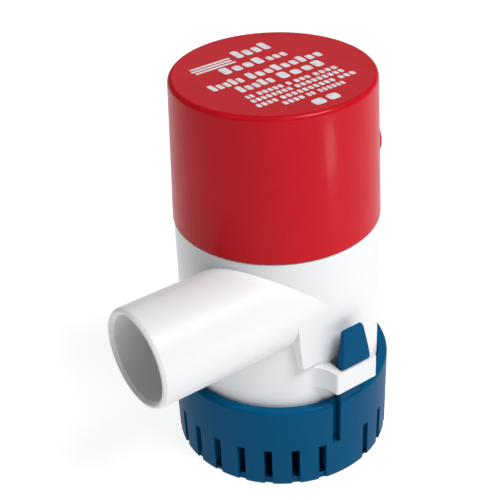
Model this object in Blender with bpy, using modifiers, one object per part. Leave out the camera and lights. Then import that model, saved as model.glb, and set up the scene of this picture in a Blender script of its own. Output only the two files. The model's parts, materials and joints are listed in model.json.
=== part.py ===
"""Automatic submersible bilge pump, modelled as its separate pieces.

Frame: origin at the centre of the strainer's underside, +Z up the motor axis,
outlet tube pointing along -X, latch tabs at -Y and +Y, cable gland near +X.
Water enters through the strainer slots and the intake eye, is flung outwards by
the impeller, rises around the watertight motor chamber and leaves by the outlet.
"""
import math

import bmesh
import bpy
from mathutils import Matrix, Vector

MM = 0.001

# ---------------------------------------------------------------- driving dimensions
BODY_R = 29.5 * MM              # housing radius just under the cap
BODY_R_LOW = 29.8 * MM          # housing radius at the strainer (moulding draft)
HEIGHT = 119.6 * MM             # strainer underside to cap top
CAP_BOTTOM = 77.1 * MM          # parting line between cap and housing
RING_TOP = 28.2 * MM            # strainer rim
GAP = 0.3 * MM                  # clearance between pieces that touch
RUNNING = 0.09 * MM             # radial clearance of the shaft in its bearings

SHAFT_R = 1.59 * MM
HOSE_R = 14.4 * MM              # outlet tube, for 28.6 mm (1-1/8 in) hose
OUTLET_BORE_R = 12.3 * MM
OUTLET_Y = -14.8 * MM
OUTLET_Z = 59.6 * MM
OUTLET_END_X = -58.4 * MM

# Strainer base
RING_R = 33.0 * MM
RING_R_LOW = 32.8 * MM
RING_BORE_R = 30.15 * MM
STRAINER_WELL_R = 29.0 * MM
STRAINER_FLOOR = 2.5 * MM
LEDGE_Z = 14.0 * MM
SLOT_POSITIONS = 25             # those under the tabs stay uncut
SLOT_START = math.radians(13.2)  # first slot, from the front towards +X
SLOT_WIDTH = 2.4 * MM
SLOT_TOP = 13.3 * MM
SLOT_SILL = 2.3 * MM             # inside the ring the slots end on the floor
SLOT_FOOT_R = 31.9 * MM          # below the sill they only nick the ring from here outwards
TAB_CLEAR_ANGLE = math.radians(10)
NOTCH_ANGLE = math.radians(7.6)  # groove in the ring beside each tab
NOTCH_WIDTH = 2.6 * MM
NOTCH_BOTTOM = 12.8 * MM
NOTCH_BACKING = 0.55 * MM       # thickness left behind the groove
FLOOR_SCREW_X = 17.0 * MM
FLOOR_SCREW_R = 2.2 * MM

# Latch: loop on the housing, tab on the strainer
LATCH_X = 0.6 * MM              # the latch sits slightly to one side of the front
LOOP_HALF_WIDTH = 7.4 * MM
LOOP_FRONT = 35.7 * MM
LOOP_WALL = 1.5 * MM            # across the front, where the hook catches
LOOP_ARM = 2.5 * MM
LOOP_FLARE = 7.5 * MM           # fillet from each arm out to the body
LOOP_BOTTOM = 33.9 * MM
LOOP_TOP = 41.1 * MM
TAB_TOP = 53.4 * MM
TAB_INNER = 31.1 * MM           # distance of the tab's inner face from the axis
TAB_STEM_OUTER = 32.9 * MM
TAB_STEM_HALF_WIDTH = 3.8 * MM
TAB_SHOULDER_OUTER = 35.2 * MM
TAB_SHOULDER_HALF_WIDTH = 5.1 * MM
TAB_CROWN_HALF_WIDTH = 3.6 * MM

# Housing inside
HOUSING_BORE_R = 27.3 * MM
HOUSING_BOTTOM = LEDGE_Z + GAP
PLATE_SEAT_R = 28.0 * MM
PLATE_SEAT_Z = 17.3 * MM
SPIGOT_TOP = 84.0 * MM
SPIGOT_R = 27.2 * MM
SPIGOT_BORE_R = 24.6 * MM
FLANGE_LEDGE_Z = 74.0 * MM
FLANGE_LEDGE_R = 22.0 * MM
SEAL_R = 0.65 * MM              # section radius of both O-rings
CAP_SEAL_R = 26.55 * MM
CAP_SEAL_Z = 80.5 * MM

# Motor chamber
CHAMBER_R = 19.8 * MM
CHAMBER_BORE_R = 18.2 * MM
CHAMBER_FLOOR = 28.0 * MM
CHAMBER_FLOOR_TOP = 31.5 * MM
FLANGE_Z = FLANGE_LEDGE_Z + 2 * SEAL_R + 2 * GAP
FLANGE_TOP = FLANGE_Z + 2.0 * MM
FLANGE_R = SPIGOT_BORE_R - GAP
CHAMBER_SEAL_R = 23.3 * MM
SEAL_HUB_R = 6.2 * MM
SEAL_POCKET_R = 4.8 * MM
HUB_TOP = 35.7 * MM
MOTOR_SCREW_X = 10.0 * MM
MOTOR_SCREW_R = 1.4 * MM
POST_RING_R = 21.4 * MM
POST_R = 2.2 * MM
POST_TOP = 86.0 * MM
POST_ANGLES = [math.radians(a) for a in (30, 150, 270)]

# Motor
CAN_R = 17.8 * MM
CAN_WALL = 1.2 * MM
CAN_BOTTOM = 36.0 * MM
CAN_TOP = 69.0 * MM
BEARING_R = 4.0 * MM
BEARING_HOLE_R = 4.3 * MM
MAGNET_HALF_ANGLE = math.radians(62)
MAGNET_INNER_R = 12.9 * MM
MAGNET_OUTER_R = 16.3 * MM
MAGNET_Z = (40.0 * MM, 61.5 * MM)
CORE_R = 12.4 * MM
CORE_Z = (45.0 * MM, 59.0 * MM)
CORE_SLOTS = 5
SLOT_RING_R = 8.6 * MM
SLOT_POCKET_R = 2.35 * MM
SLOT_MOUTH = 1.6 * MM
WINDING_Z = (42.0 * MM, 62.2 * MM)
COMMUTATOR_Z = (62.6 * MM, 68.6 * MM)
COMMUTATOR_R = 4.2 * MM
BRUSH_Z = 66.0 * MM
BRUSH_INNER = COMMUTATOR_R + GAP
BRUSH_LENGTH = 5.0 * MM
BRUSH_WIDTH = 4.0 * MM
BRUSH_HEIGHT = 3.4 * MM
HOLDER_OUTER = 15.2 * MM
BELL_Z = (CAN_TOP + GAP, 72.3 * MM)
TERMINAL_X = 11.0 * MM

# Rotor and impeller
SHAFT_Z = (17.9 * MM, 74.0 * MM)
ROTOR_BORE_R = SHAFT_R + GAP
IMPELLER_R = 16.0 * MM
IMPELLER_HUB_R = 4.4 * MM
IMPELLER_BOTTOM = 18.6 * MM
IMPELLER_PLATE_Z = 24.6 * MM
IMPELLER_TOP = 26.4 * MM
VANE_COUNT = 6
VANE_THICKNESS = 1.3 * MM
INTAKE_PLATE_Z = (15.2 * MM, 17.0 * MM)
INTAKE_EYE_R = 8.0 * MM

# Cap and electronics
CAP_R_TOP = 28.3 * MM
CAP_R_BOTTOM = 29.8 * MM
CAP_WALL = 2.2 * MM
GLAND_Z = 94.8 * MM
GLAND_ANGLE = math.radians(-20.3)  # round from +X towards the front
GLAND_BOSS_R = 4.2 * MM
GLAND_BOSS_END = 30.4 * MM      # distance of the boss's face from the axis
BOARD_Z = (POST_TOP + GAP, POST_TOP + GAP + 1.6 * MM)
BOARD_R = 24.0 * MM
BOARD_TOP = BOARD_Z[1] + GAP

BIG_STEPS = 64
MID_STEPS = 36
SMALL_STEPS = 20
TINY_STEPS = 12
MERGE = 0.00001

# ---------------------------------------------------------------- scene and collections
for existing in list(bpy.data.objects):
    bpy.data.objects.remove(existing, do_unlink=True)

PARTS = bpy.data.collections.new("bilge_pump")
CUTTERS = bpy.data.collections.new("cutters")
bpy.context.scene.collection.children.link(PARTS)
bpy.context.scene.collection.children.link(CUTTERS)


def material(name, colour, roughness, metallic=0.0):
    """A Principled material with one colour."""
    made = bpy.data.materials.new(name)
    made.use_nodes = True
    shader = made.node_tree.nodes["Principled BSDF"]
    shader.inputs["Base Color"].default_value = (*colour, 1.0)
    shader.inputs["Roughness"].default_value = roughness
    shader.inputs["Metallic"].default_value = metallic
    return made


RED_PLASTIC = material("red_plastic", (0.56, 0.016, 0.028), 0.28)
WHITE_PLASTIC = material("white_plastic", (0.86, 0.86, 0.85), 0.32)
BLUE_PLASTIC = material("blue_plastic", (0.005, 0.085, 0.21), 0.30)
GREY_PLASTIC = material("grey_plastic", (0.30, 0.31, 0.32), 0.45)
BLACK_PLASTIC = material("black_plastic", (0.02, 0.02, 0.02), 0.45)
RUBBER = material("black_rubber", (0.015, 0.015, 0.015), 0.75)
STEEL = material("stainless_steel", (0.62, 0.61, 0.59), 0.28, 1.0)
ZINC_STEEL = material("zinc_plated_steel", (0.48, 0.49, 0.50), 0.38, 1.0)
LAMINATION = material("lamination_steel", (0.22, 0.22, 0.23), 0.50, 1.0)
COPPER = material("copper", (0.72, 0.30, 0.14), 0.30, 1.0)
BRASS = material("brass", (0.72, 0.53, 0.22), 0.30, 1.0)
BRONZE = material("sintered_bronze", (0.50, 0.31, 0.15), 0.55, 1.0)
FERRITE = material("ferrite", (0.045, 0.043, 0.045), 0.70)
CARBON = material("carbon", (0.030, 0.030, 0.032), 0.55)
BOARD_GREEN = material("board_laminate", (0.010, 0.10, 0.035), 0.35)
ALUMINIUM = material("aluminium", (0.60, 0.61, 0.62), 0.35, 1.0)
RED_WIRE = material("red_wire_jacket", (0.50, 0.010, 0.012), 0.50)
BLACK_WIRE = material("black_wire_jacket", (0.012, 0.012, 0.012), 0.50)
SLEEVE = material("capacitor_sleeve", (0.012, 0.020, 0.075), 0.35)


# ---------------------------------------------------------------- modelling helpers
def new_object(name, mesh, finish=None, smooth=True):
    """A part when it has a finish, a hidden cutter or joined form when it has none."""
    made = bpy.data.objects.new(name, mesh)
    if finish is None:
        CUTTERS.objects.link(made)
        made.hide_render = True
        made.display_type = "WIRE"
        return made
    PARTS.objects.link(made)
    mesh.materials.append(finish)
    if smooth:
        mesh.shade_smooth()
        mesh.set_sharp_from_angle(angle=math.radians(35))
    return made


def turned(name, profile, finish=None, steps=MID_STEPS, axis="Z", closed=False, at=(0, 0, 0)):
    """A solid of revolution; profile is (radius, height) down the outer side.

    closed joins the last point to the first, for a ring with a bore."""
    mesh = bpy.data.meshes.new(name)
    shape = bmesh.new()
    points = [shape.verts.new((radius, 0.0, height)) for radius, height in profile]
    for first, second in zip(points, points[1:]):
        shape.edges.new((first, second))
    if closed:
        shape.edges.new((points[-1], points[0]))
    shape.to_mesh(mesh)
    shape.free()
    made = new_object(name, mesh, finish)
    made.location = at
    if axis == "X":
        made.rotation_euler = (0.0, math.pi / 2, 0.0)
    screw = made.modifiers.new("turn", "SCREW")
    screw.axis = "Z"
    screw.angle = 2 * math.pi
    screw.steps = steps
    screw.render_steps = steps
    screw.use_merge_vertices = True
    screw.merge_threshold = MERGE
    screw.use_smooth_shade = True
    return made


def rounded(radius, height, fillet, steps=3):
    """Profile points of an outer top corner rounded by a quarter circle."""
    centre = (radius - fillet, height - fillet)
    angles = [math.pi / 2 * (1 - step / steps) for step in range(steps + 1)]
    return [(centre[0] + fillet * math.cos(a), centre[1] + fillet * math.sin(a)) for a in angles]


def o_ring(name, ring_r, section_r, height, finish, steps=36, section_steps=6):
    """A torus seal lying flat."""
    angles = [-2 * math.pi * step / section_steps for step in range(section_steps)]
    profile = [(ring_r + section_r * math.cos(a), height + section_r * math.sin(a)) for a in angles]
    return turned(name, profile, finish, steps, closed=True)


def box(name, low, high, finish=None):
    """An axis-aligned block between two corners."""
    low = Vector(low)
    high = Vector(high)
    size = high - low
    shape = bmesh.new()
    bmesh.ops.create_cube(shape, size=1.0)
    bmesh.ops.scale(shape, vec=size, verts=shape.verts)
    bmesh.ops.translate(shape, vec=(low + high) / 2, verts=shape.verts)
    mesh = bpy.data.meshes.new(name)
    shape.to_mesh(mesh)
    shape.free()
    return new_object(name, mesh, finish, smooth=False)


def cylinder(name, radius, start, end, finish=None, steps=SMALL_STEPS):
    """A plain cylinder between two points."""
    start = Vector(start)
    end = Vector(end)
    along = end - start
    shape = bmesh.new()
    bmesh.ops.create_cone(shape, cap_ends=True, segments=steps, radius1=radius, radius2=radius,
                          depth=along.length)
    turn = Vector((0, 0, 1)).rotation_difference(along).to_matrix().to_4x4()
    bmesh.ops.transform(shape, matrix=Matrix.Translation((start + end) / 2) @ turn,
                        verts=shape.verts)
    mesh = bpy.data.meshes.new(name)
    shape.to_mesh(mesh)
    shape.free()
    return new_object(name, mesh, finish)


def meshed_curve(name, curve, finish, place=None):
    """Turns a curve into a welded mesh object, moved by place."""
    holder = bpy.data.objects.new(name + "_curve", curve)
    CUTTERS.objects.link(holder)
    graph = bpy.context.evaluated_depsgraph_get()
    mesh = bpy.data.meshes.new_from_object(holder.evaluated_get(graph))
    mesh.name = name
    shape = bmesh.new()
    shape.from_mesh(mesh)
    bmesh.ops.remove_doubles(shape, verts=shape.verts, dist=MERGE)
    if place is not None:
        bmesh.ops.transform(shape, matrix=place, verts=shape.verts)
    shape.to_mesh(mesh)
    shape.free()
    mesh.materials.clear()
    bpy.data.objects.remove(holder, do_unlink=True)
    bpy.data.curves.remove(curve)
    return new_object(name, mesh, finish)


def plate(name, outlines, thickness, finish=None, place=None):
    """A flat plate with the given closed outlines (the later ones are holes), in XY."""
    curve = bpy.data.curves.new(name, "CURVE")
    curve.dimensions = "2D"
    curve.fill_mode = "BOTH"
    curve.extrude = thickness / 2
    for outline in outlines:
        line = curve.splines.new("POLY")
        line.points.add(len(outline) - 1)
        for point, (x, y) in zip(line.points, outline):
            point.co = (x, y, 0.0, 1.0)
        line.use_cyclic_u = True
    return meshed_curve(name, curve, finish, place)


def wire(name, points, radius, finish, bevel_resolution=2):
    """A round wire through the points, with closed ends."""
    curve = bpy.data.curves.new(name, "CURVE")
    curve.dimensions = "3D"
    curve.bevel_depth = radius
    curve.bevel_resolution = bevel_resolution
    curve.use_fill_caps = True
    line = curve.splines.new("POLY")
    line.points.add(len(points) - 1)
    for point, place in zip(line.points, points):
        point.co = (*place, 1.0)
    return meshed_curve(name, curve, finish)


def combine(target, tool, operation):
    """Adds a Boolean of target with tool."""
    step = target.modifiers.new(operation.lower(), "BOOLEAN")
    step.operation = operation
    step.solver = "EXACT"
    step.object = tool


def cut(target, *tools):
    for tool in tools:
        combine(target, tool, "DIFFERENCE")


def join(target, *tools):
    for tool in tools:
        combine(target, tool, "UNION")


def merged_tool(name, pieces):
    """One hidden object holding several separate forms."""
    shape = bmesh.new()
    for piece in pieces:
        before = len(shape.verts)
        shape.from_mesh(piece.data)
        shape.verts.ensure_lookup_table()
        bmesh.ops.transform(shape, matrix=piece.matrix_basis, verts=shape.verts[before:])
        bpy.data.objects.remove(piece, do_unlink=True)
    mesh = bpy.data.meshes.new(name)
    shape.to_mesh(mesh)
    shape.free()
    return new_object(name, mesh)


def polar(radius, angle):
    return (radius * math.cos(angle), radius * math.sin(angle))


def arc(radius, start, end, steps):
    """Points from start to end angle on a circle round the origin."""
    return [polar(radius, start + (end - start) * step / steps) for step in range(steps + 1)]


def circle(radius, steps, centre=(0.0, 0.0)):
    points = [polar(radius, 2 * math.pi * step / steps) for step in range(steps)]
    return [(centre[0] + x, centre[1] + y) for x, y in points]


def hexagon(across_flats):
    return circle(across_flats / math.sqrt(3), 6)


def washer(name, inner_r, outer_r, bottom, top, finish, steps=SMALL_STEPS):
    profile = [(inner_r, top), (outer_r, top), (outer_r, bottom), (inner_r, bottom)]
    return turned(name, profile, finish, steps, closed=True)


def half_turn(made):
    """Places a front piece at the rear, by half a turn about the pump axis."""
    made.rotation_euler = (0.0, 0.0, math.pi)


# ---------------------------------------------------------------- strainer base
def build_strainer_base():
    """Slotted ring and floor that stands on the bilge and holds the pump."""
    bevel = 1.6 * MM
    foot = 0.6 * MM
    profile = [
        (0.0, STRAINER_FLOOR), (STRAINER_WELL_R, STRAINER_FLOOR), (STRAINER_WELL_R, LEDGE_Z),
        (RING_BORE_R, LEDGE_Z), (RING_BORE_R, RING_TOP),
        (RING_R - bevel, RING_TOP), (RING_R - 0.4 * bevel, RING_TOP - 0.35 * bevel),
        (RING_R, RING_TOP - bevel), (RING_R_LOW, foot), (RING_R_LOW - foot, 0.0), (0.0, 0.0),
    ]
    base = turned("strainer_base", profile, BLUE_PLASTIC, BIG_STEPS)

    slots = []
    feet = []
    for index in range(SLOT_POSITIONS):
        angle = SLOT_START + 2 * math.pi * index / SLOT_POSITIONS
        if abs(math.sin(angle)) < math.sin(TAB_CLEAR_ANGLE):
            continue
        slot = box("slot", (-SLOT_WIDTH / 2, -36 * MM, SLOT_SILL), (SLOT_WIDTH / 2, -26 * MM, SLOT_TOP))
        slot.rotation_euler.z = angle
        slots.append(slot)
        foot_cut = box("slot_foot", (-SLOT_WIDTH / 2, -36 * MM, -2 * MM),
                       (SLOT_WIDTH / 2, -SLOT_FOOT_R, SLOT_SILL + 1 * MM))
        foot_cut.rotation_euler.z = angle
        feet.append(foot_cut)
    for half in (0.0, math.pi):
        notch = box("notch", (-NOTCH_WIDTH / 2, -36 * MM, NOTCH_BOTTOM),
                    (NOTCH_WIDTH / 2, -(RING_BORE_R + NOTCH_BACKING), RING_TOP + 2 * MM))
        notch.rotation_euler.z = half - NOTCH_ANGLE
        slots.append(notch)
    for side in (-1, 1):
        slots.append(cylinder("floor_screw_hole", FLOOR_SCREW_R, (side * FLOOR_SCREW_X, 0, -2 * MM),
                              (side * FLOOR_SCREW_X, 0, 6 * MM), steps=SMALL_STEPS))
    cut(base, merged_tool("strainer_cuts", slots))
    cut(base, merged_tool("slot_feet", feet))
    return base


# ---------------------------------------------------------------- latch tabs
def build_latch_tab(name, rear):
    """Flexing tongue whose hook rests over the housing's loop.

    It turns about a line along X at the strainer's rim, where the tongue bends."""
    root_z = RING_TOP + GAP
    hook_z = LOOP_TOP + GAP
    corner = 0.9 * MM
    foot = 0.5 * MM
    wide = TAB_SHOULDER_HALF_WIDTH
    crown = TAB_CROWN_HALF_WIDTH
    head_front = [
        (-wide + foot, hook_z - foot), (wide - foot, hook_z - foot), (wide, hook_z + foot),
        (crown + 0.15 * MM, TAB_TOP - corner), (crown - 0.2 * MM, TAB_TOP - 0.3 * corner),
        (crown - corner, TAB_TOP), (-crown + corner, TAB_TOP),
        (-crown + 0.2 * MM, TAB_TOP - 0.3 * corner), (-crown - 0.15 * MM, TAB_TOP - corner),
        (-wide, hook_z + foot),
    ]
    head_side = [
        (TAB_STEM_OUTER, hook_z), (TAB_SHOULDER_OUTER, hook_z),
        (TAB_SHOULDER_OUTER + 0.05 * MM, hook_z + 1.5 * MM), (34.9 * MM, hook_z + 5 * MM),
        (34.2 * MM, TAB_TOP - 3 * MM), (33.7 * MM, TAB_TOP - 0.8 * MM),
        (33.3 * MM, TAB_TOP + 0.2 * MM), (32.8 * MM, TAB_TOP + 0.2 * MM),
        (32.5 * MM, TAB_TOP - 0.8 * MM), (32.9 * MM, hook_z + 5 * MM),
    ]
    stem_side = [
        (TAB_INNER, root_z), (TAB_STEM_OUTER, root_z), (TAB_STEM_OUTER, hook_z - 1 * MM),
        (33.6 * MM, hook_z + 1 * MM), (33.7 * MM, TAB_TOP - 4 * MM), (32.5 * MM, TAB_TOP - 3.5 * MM),
        (TAB_INNER + 0.2 * MM, hook_z + 1.5 * MM), (TAB_INNER, hook_z - 1 * MM),
    ]
    pivot = Vector((LATCH_X, -(TAB_INNER + TAB_STEM_OUTER) / 2, RING_TOP))
    middle = -(TAB_INNER + TAB_SHOULDER_OUTER) / 2
    upright = Matrix.Translation((0, middle - pivot.y, -pivot.z)) @ Matrix.Rotation(math.pi / 2, 4, "X")
    turn = Matrix(((0, 0, -1, 0), (-1, 0, 0, 0), (0, 1, 0, 0), (0, 0, 0, 1)))
    sideways = Matrix.Translation((0, -pivot.y, -pivot.z)) @ turn
    tab = plate(name, [head_front], 10 * MM, BLUE_PLASTIC, upright)
    hook = plate(name + "_hook", [head_side], 16 * MM, None, sideways)
    stem = plate(name + "_stem", [stem_side], 2 * TAB_STEM_HALF_WIDTH, None, sideways)
    combine(tab, hook, "INTERSECT")
    join(tab, stem)
    for piece in (tab, hook, stem):
        piece.location = pivot
        if rear:
            piece.location = (-pivot.x, -pivot.y, pivot.z)
            half_turn(piece)
    return tab


# ---------------------------------------------------------------- pump housing
def loop_side(side):
    """Outline of one arm from the body to the front corner, its fillet tangent to the body."""
    root_y = 25.5 * MM
    corner = 0.7 * MM
    bite = 0.1 * MM                  # the fillet runs this far into the body
    steps = 8
    edge = LATCH_X + side * LOOP_HALF_WIDTH
    centre_x = edge + side * LOOP_FLARE
    centre_y = -math.sqrt((BODY_R_LOW - bite + LOOP_FLARE) ** 2 - centre_x ** 2)
    sweep = math.atan2(-centre_y, abs(centre_x))
    fillet = []
    for step in range(steps + 1):
        x, y = polar(LOOP_FLARE, sweep * (1 - step / steps))
        fillet.append((centre_x - side * x, centre_y + y))
    return [(edge - side * LOOP_ARM, -root_y), (fillet[0][0], -root_y)] + fillet + [
        (edge, -(LOOP_FRONT - corner)), (edge - side * 0.3 * corner, -(LOOP_FRONT - 0.3 * corner)),
        (edge - side * corner, -LOOP_FRONT),
    ]


def latch_loop(name, rear):
    """The loop moulded on the housing, which the tab's hook catches."""
    inner = LOOP_HALF_WIDTH - LOOP_ARM
    back = -(LOOP_FRONT - LOOP_WALL)
    opening = [(LATCH_X - inner, back), (LATCH_X + inner, back)]
    outline = loop_side(1) + loop_side(-1)[::-1] + opening
    place = Matrix.Translation((0, 0, (LOOP_TOP + LOOP_BOTTOM) / 2))
    loop = plate(name, [outline], LOOP_TOP - LOOP_BOTTOM, None, place)
    if rear:
        half_turn(loop)
    return loop


def outlet_web():
    """Flat panel that carries the outlet tube down to the front of the body."""
    face_y = -29.15 * MM             # just inside the tube's outermost line, so the two run together
    bottom = 42.5 * MM
    outline = [
        (0.0, bottom), (0.0, OUTLET_Z), (-15.3 * MM, OUTLET_Z), (-14.6 * MM, 50.0 * MM),
        (-13.7 * MM, bottom),
    ]
    thickness = 9 * MM
    place = Matrix.Translation((0, face_y + thickness / 2, 0)) @ Matrix.Rotation(math.pi / 2, 4, "X")
    return plate("outlet_web", [outline], thickness, None, place)


def build_pump_housing():
    """Outer shell: body, tangential outlet tube, flat web under it and the latch loops."""
    shoulder = CAP_BOTTOM - GAP
    groove = SEAL_R + GAP
    body = [
        (0.0, SPIGOT_TOP), (SPIGOT_R, SPIGOT_TOP), (SPIGOT_R, CAP_SEAL_Z + groove),
        (CAP_SEAL_R - groove, CAP_SEAL_Z + groove), (CAP_SEAL_R - groove, CAP_SEAL_Z - groove),
        (SPIGOT_R, CAP_SEAL_Z - groove), (SPIGOT_R, shoulder),
        (BODY_R, shoulder), (BODY_R_LOW, RING_TOP), (BODY_R_LOW, HOUSING_BOTTOM),
        (0.0, HOUSING_BOTTOM),
    ]
    housing = turned("pump_housing", body, WHITE_PLASTIC, BIG_STEPS)

    lip = 0.9 * MM
    entry = 1.0 * MM
    length = -OUTLET_END_X
    tube = turned("outlet_tube", [
        (0.0, length), (HOSE_R - lip, length), (HOSE_R - 0.3 * lip, length - 0.3 * lip),
        (HOSE_R, length - lip), (HOSE_R, 0.0), (0.0, 0.0),
    ], steps=MID_STEPS)
    bore = turned("outlet_bore", [
        (0.0, length + 1 * MM), (OUTLET_BORE_R + entry, length + 1 * MM),
        (OUTLET_BORE_R + entry, length - 0.2 * MM), (OUTLET_BORE_R, length - entry),
        (OUTLET_BORE_R, 1 * MM), (0.0, 1 * MM),
    ], steps=MID_STEPS)
    for piece in (tube, bore):
        piece.location = (0.0, OUTLET_Y, OUTLET_Z)
        piece.rotation_euler = (0.0, -math.pi / 2, 0.0)

    well = turned("housing_well", [
        (0.0, SPIGOT_TOP + 2 * MM), (SPIGOT_BORE_R, SPIGOT_TOP + 2 * MM),
        (SPIGOT_BORE_R, FLANGE_LEDGE_Z), (FLANGE_LEDGE_R, FLANGE_LEDGE_Z),
        (FLANGE_LEDGE_R, FLANGE_LEDGE_Z - 1.6 * MM),
        (HOUSING_BORE_R, FLANGE_LEDGE_Z - 4 * MM), (HOUSING_BORE_R, PLATE_SEAT_Z),
        (PLATE_SEAT_R, PLATE_SEAT_Z), (PLATE_SEAT_R, HOUSING_BOTTOM - 2 * MM),
        (0.0, HOUSING_BOTTOM - 2 * MM),
    ], steps=BIG_STEPS)
    join(housing, tube, outlet_web(), latch_loop("front_loop", False), latch_loop("rear_loop", True))
    cut(housing, well, bore)
    return housing


# ---------------------------------------------------------------- intake plate
def build_intake_plate():
    """Disc under the impeller with the inlet eye and its rounded collar."""
    bottom, top = INTAKE_PLATE_Z
    edge = PLATE_SEAT_R - GAP
    profile = [
        (INTAKE_EYE_R, top), (edge, top), (edge, bottom),
        (INTAKE_EYE_R + 3.0 * MM, bottom), (INTAKE_EYE_R + 2.2 * MM, bottom - 1.6 * MM),
        (INTAKE_EYE_R + 0.8 * MM, bottom - 2.0 * MM), (INTAKE_EYE_R, bottom - 1.2 * MM),
    ]
    return turned("intake_plate", profile, WHITE_PLASTIC, MID_STEPS, closed=True)


# ---------------------------------------------------------------- motor chamber
def build_motor_chamber():
    """Watertight cup round the motor, with the seal hub, screw bosses and board posts."""
    profile = [
        (0.0, FLANGE_TOP), (FLANGE_R, FLANGE_TOP), (FLANGE_R, FLANGE_Z),
        (CHAMBER_R, FLANGE_Z), (CHAMBER_R, CHAMBER_FLOOR + 2 * MM),
        (CHAMBER_R - 2 * MM, CHAMBER_FLOOR), (0.0, CHAMBER_FLOOR),
    ]
    chamber = turned("motor_chamber", profile, GREY_PLASTIC, MID_STEPS)
    well = turned("chamber_well", [
        (SEAL_HUB_R, HUB_TOP), (0.0, HUB_TOP), (0.0, FLANGE_TOP + 2 * MM),
        (CHAMBER_BORE_R, FLANGE_TOP + 2 * MM), (CHAMBER_BORE_R, CHAMBER_FLOOR_TOP),
        (SEAL_HUB_R, CHAMBER_FLOOR_TOP),
    ], steps=MID_STEPS, closed=True)
    pocket = turned("seal_pocket", [
        (0.0, HUB_TOP + 2 * MM), (SEAL_POCKET_R, HUB_TOP + 2 * MM),
        (SEAL_POCKET_R, CHAMBER_FLOOR_TOP), (SHAFT_R + GAP + 0.1 * MM, CHAMBER_FLOOR_TOP),
        (SHAFT_R + GAP + 0.1 * MM, CHAMBER_FLOOR - 2 * MM), (0.0, CHAMBER_FLOOR - 2 * MM),
    ], steps=SMALL_STEPS)
    cut(chamber, well)
    bosses = []
    drills = [pocket]
    for side in (-1, 1):
        x = side * MOTOR_SCREW_X
        boss = cylinder("screw_boss", 3.4 * MM, (x, 0, CHAMBER_FLOOR_TOP - 1 * MM), (x, 0, HUB_TOP))
        bosses.append(boss)
        drills.append(cylinder("screw_hole", MOTOR_SCREW_R + GAP, (x, 0, CHAMBER_FLOOR - 1 * MM),
                               (x, 0, HUB_TOP + 1 * MM), steps=TINY_STEPS))
        drills.append(cylinder("screw_recess", 3.1 * MM, (x, 0, CHAMBER_FLOOR - 1 * MM),
                               (x, 0, CHAMBER_FLOOR + 2 * MM), steps=SMALL_STEPS))
    for angle in POST_ANGLES:
        x, y = polar(POST_RING_R, angle)
        bosses.append(cylinder("board_post", POST_R, (x, y, FLANGE_TOP - 1 * MM), (x, y, POST_TOP),
                               steps=TINY_STEPS))
        drills.append(cylinder("post_hole", 1.25 * MM, (x, y, POST_TOP - 6 * MM),
                               (x, y, POST_TOP + 1 * MM), steps=12))
    join(chamber, *bosses)
    cut(chamber, *drills)
    return chamber


def build_shaft_seal():
    """Lip seal with its garter groove, pressed into the hub."""
    outer = SEAL_POCKET_R - GAP
    lip = SHAFT_R + RUNNING
    low = CHAMBER_FLOOR_TOP + GAP
    profile = [
        (outer - 1.2 * MM, low + 3.0 * MM), (outer, low + 3.0 * MM), (outer, low), (lip + 0.8 * MM, low),
        (lip, low + 0.6 * MM), (lip + 0.5 * MM, low + 1.2 * MM), (outer - 1.2 * MM, low + 1.4 * MM),
    ]
    return turned("shaft_seal", profile, RUBBER, SMALL_STEPS, closed=True)


def build_motor_screw(name, side):
    """Pan-head screw from the wet side through the chamber floor into the motor."""
    head_bottom = CHAMBER_FLOOR + 0.3 * MM
    head_top = CHAMBER_FLOOR + 1.7 * MM
    profile = [
        (0.0, CAN_BOTTOM + 4 * MM), (MOTOR_SCREW_R - 0.3 * MM, CAN_BOTTOM + 4 * MM),
        (MOTOR_SCREW_R, CAN_BOTTOM + 3.6 * MM), (MOTOR_SCREW_R, head_top), (2.7 * MM, head_top),
        (2.7 * MM, head_bottom + 0.6 * MM), (2.0 * MM, head_bottom), (0.0, head_bottom),
    ]
    screw = turned(name, profile, STEEL, TINY_STEPS, at=(side * MOTOR_SCREW_X, 0.0, 0.0))
    groove = box(name + "_slot", (-3 * MM, -0.35 * MM, head_bottom - 1 * MM),
                 (3 * MM, 0.35 * MM, head_bottom + 0.7 * MM))
    groove.location.x = side * MOTOR_SCREW_X
    cut(screw, groove)
    return screw


# ---------------------------------------------------------------- motor
def build_motor_can():
    """Drawn steel cup with the lower bearing hole and two screw holes."""
    inner = CAN_R - CAN_WALL
    floor = CAN_BOTTOM + CAN_WALL
    profile = [
        (BEARING_HOLE_R, floor), (inner, floor), (inner, CAN_TOP), (CAN_R, CAN_TOP),
        (CAN_R, CAN_BOTTOM + 1 * MM), (CAN_R - 1 * MM, CAN_BOTTOM), (BEARING_HOLE_R, CAN_BOTTOM),
    ]
    can = turned("motor_can", profile, ZINC_STEEL, MID_STEPS, closed=True)
    for side in (-1, 1):
        x = side * MOTOR_SCREW_X
        cut(can, cylinder("can_screw_hole", MOTOR_SCREW_R + GAP, (x, 0, CAN_BOTTOM - 1 * MM),
                          (x, 0, floor + 1 * MM), steps=TINY_STEPS))
    return can


def build_magnet(name, centre):
    """Ferrite arc magnet."""
    start = centre - MAGNET_HALF_ANGLE
    end = centre + MAGNET_HALF_ANGLE
    outline = arc(MAGNET_OUTER_R, start, end, 14) + arc(MAGNET_INNER_R, end, start, 14)
    low, high = MAGNET_Z
    return plate(name, [outline], high - low, FERRITE, Matrix.Translation((0, 0, (low + high) / 2)))


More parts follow.
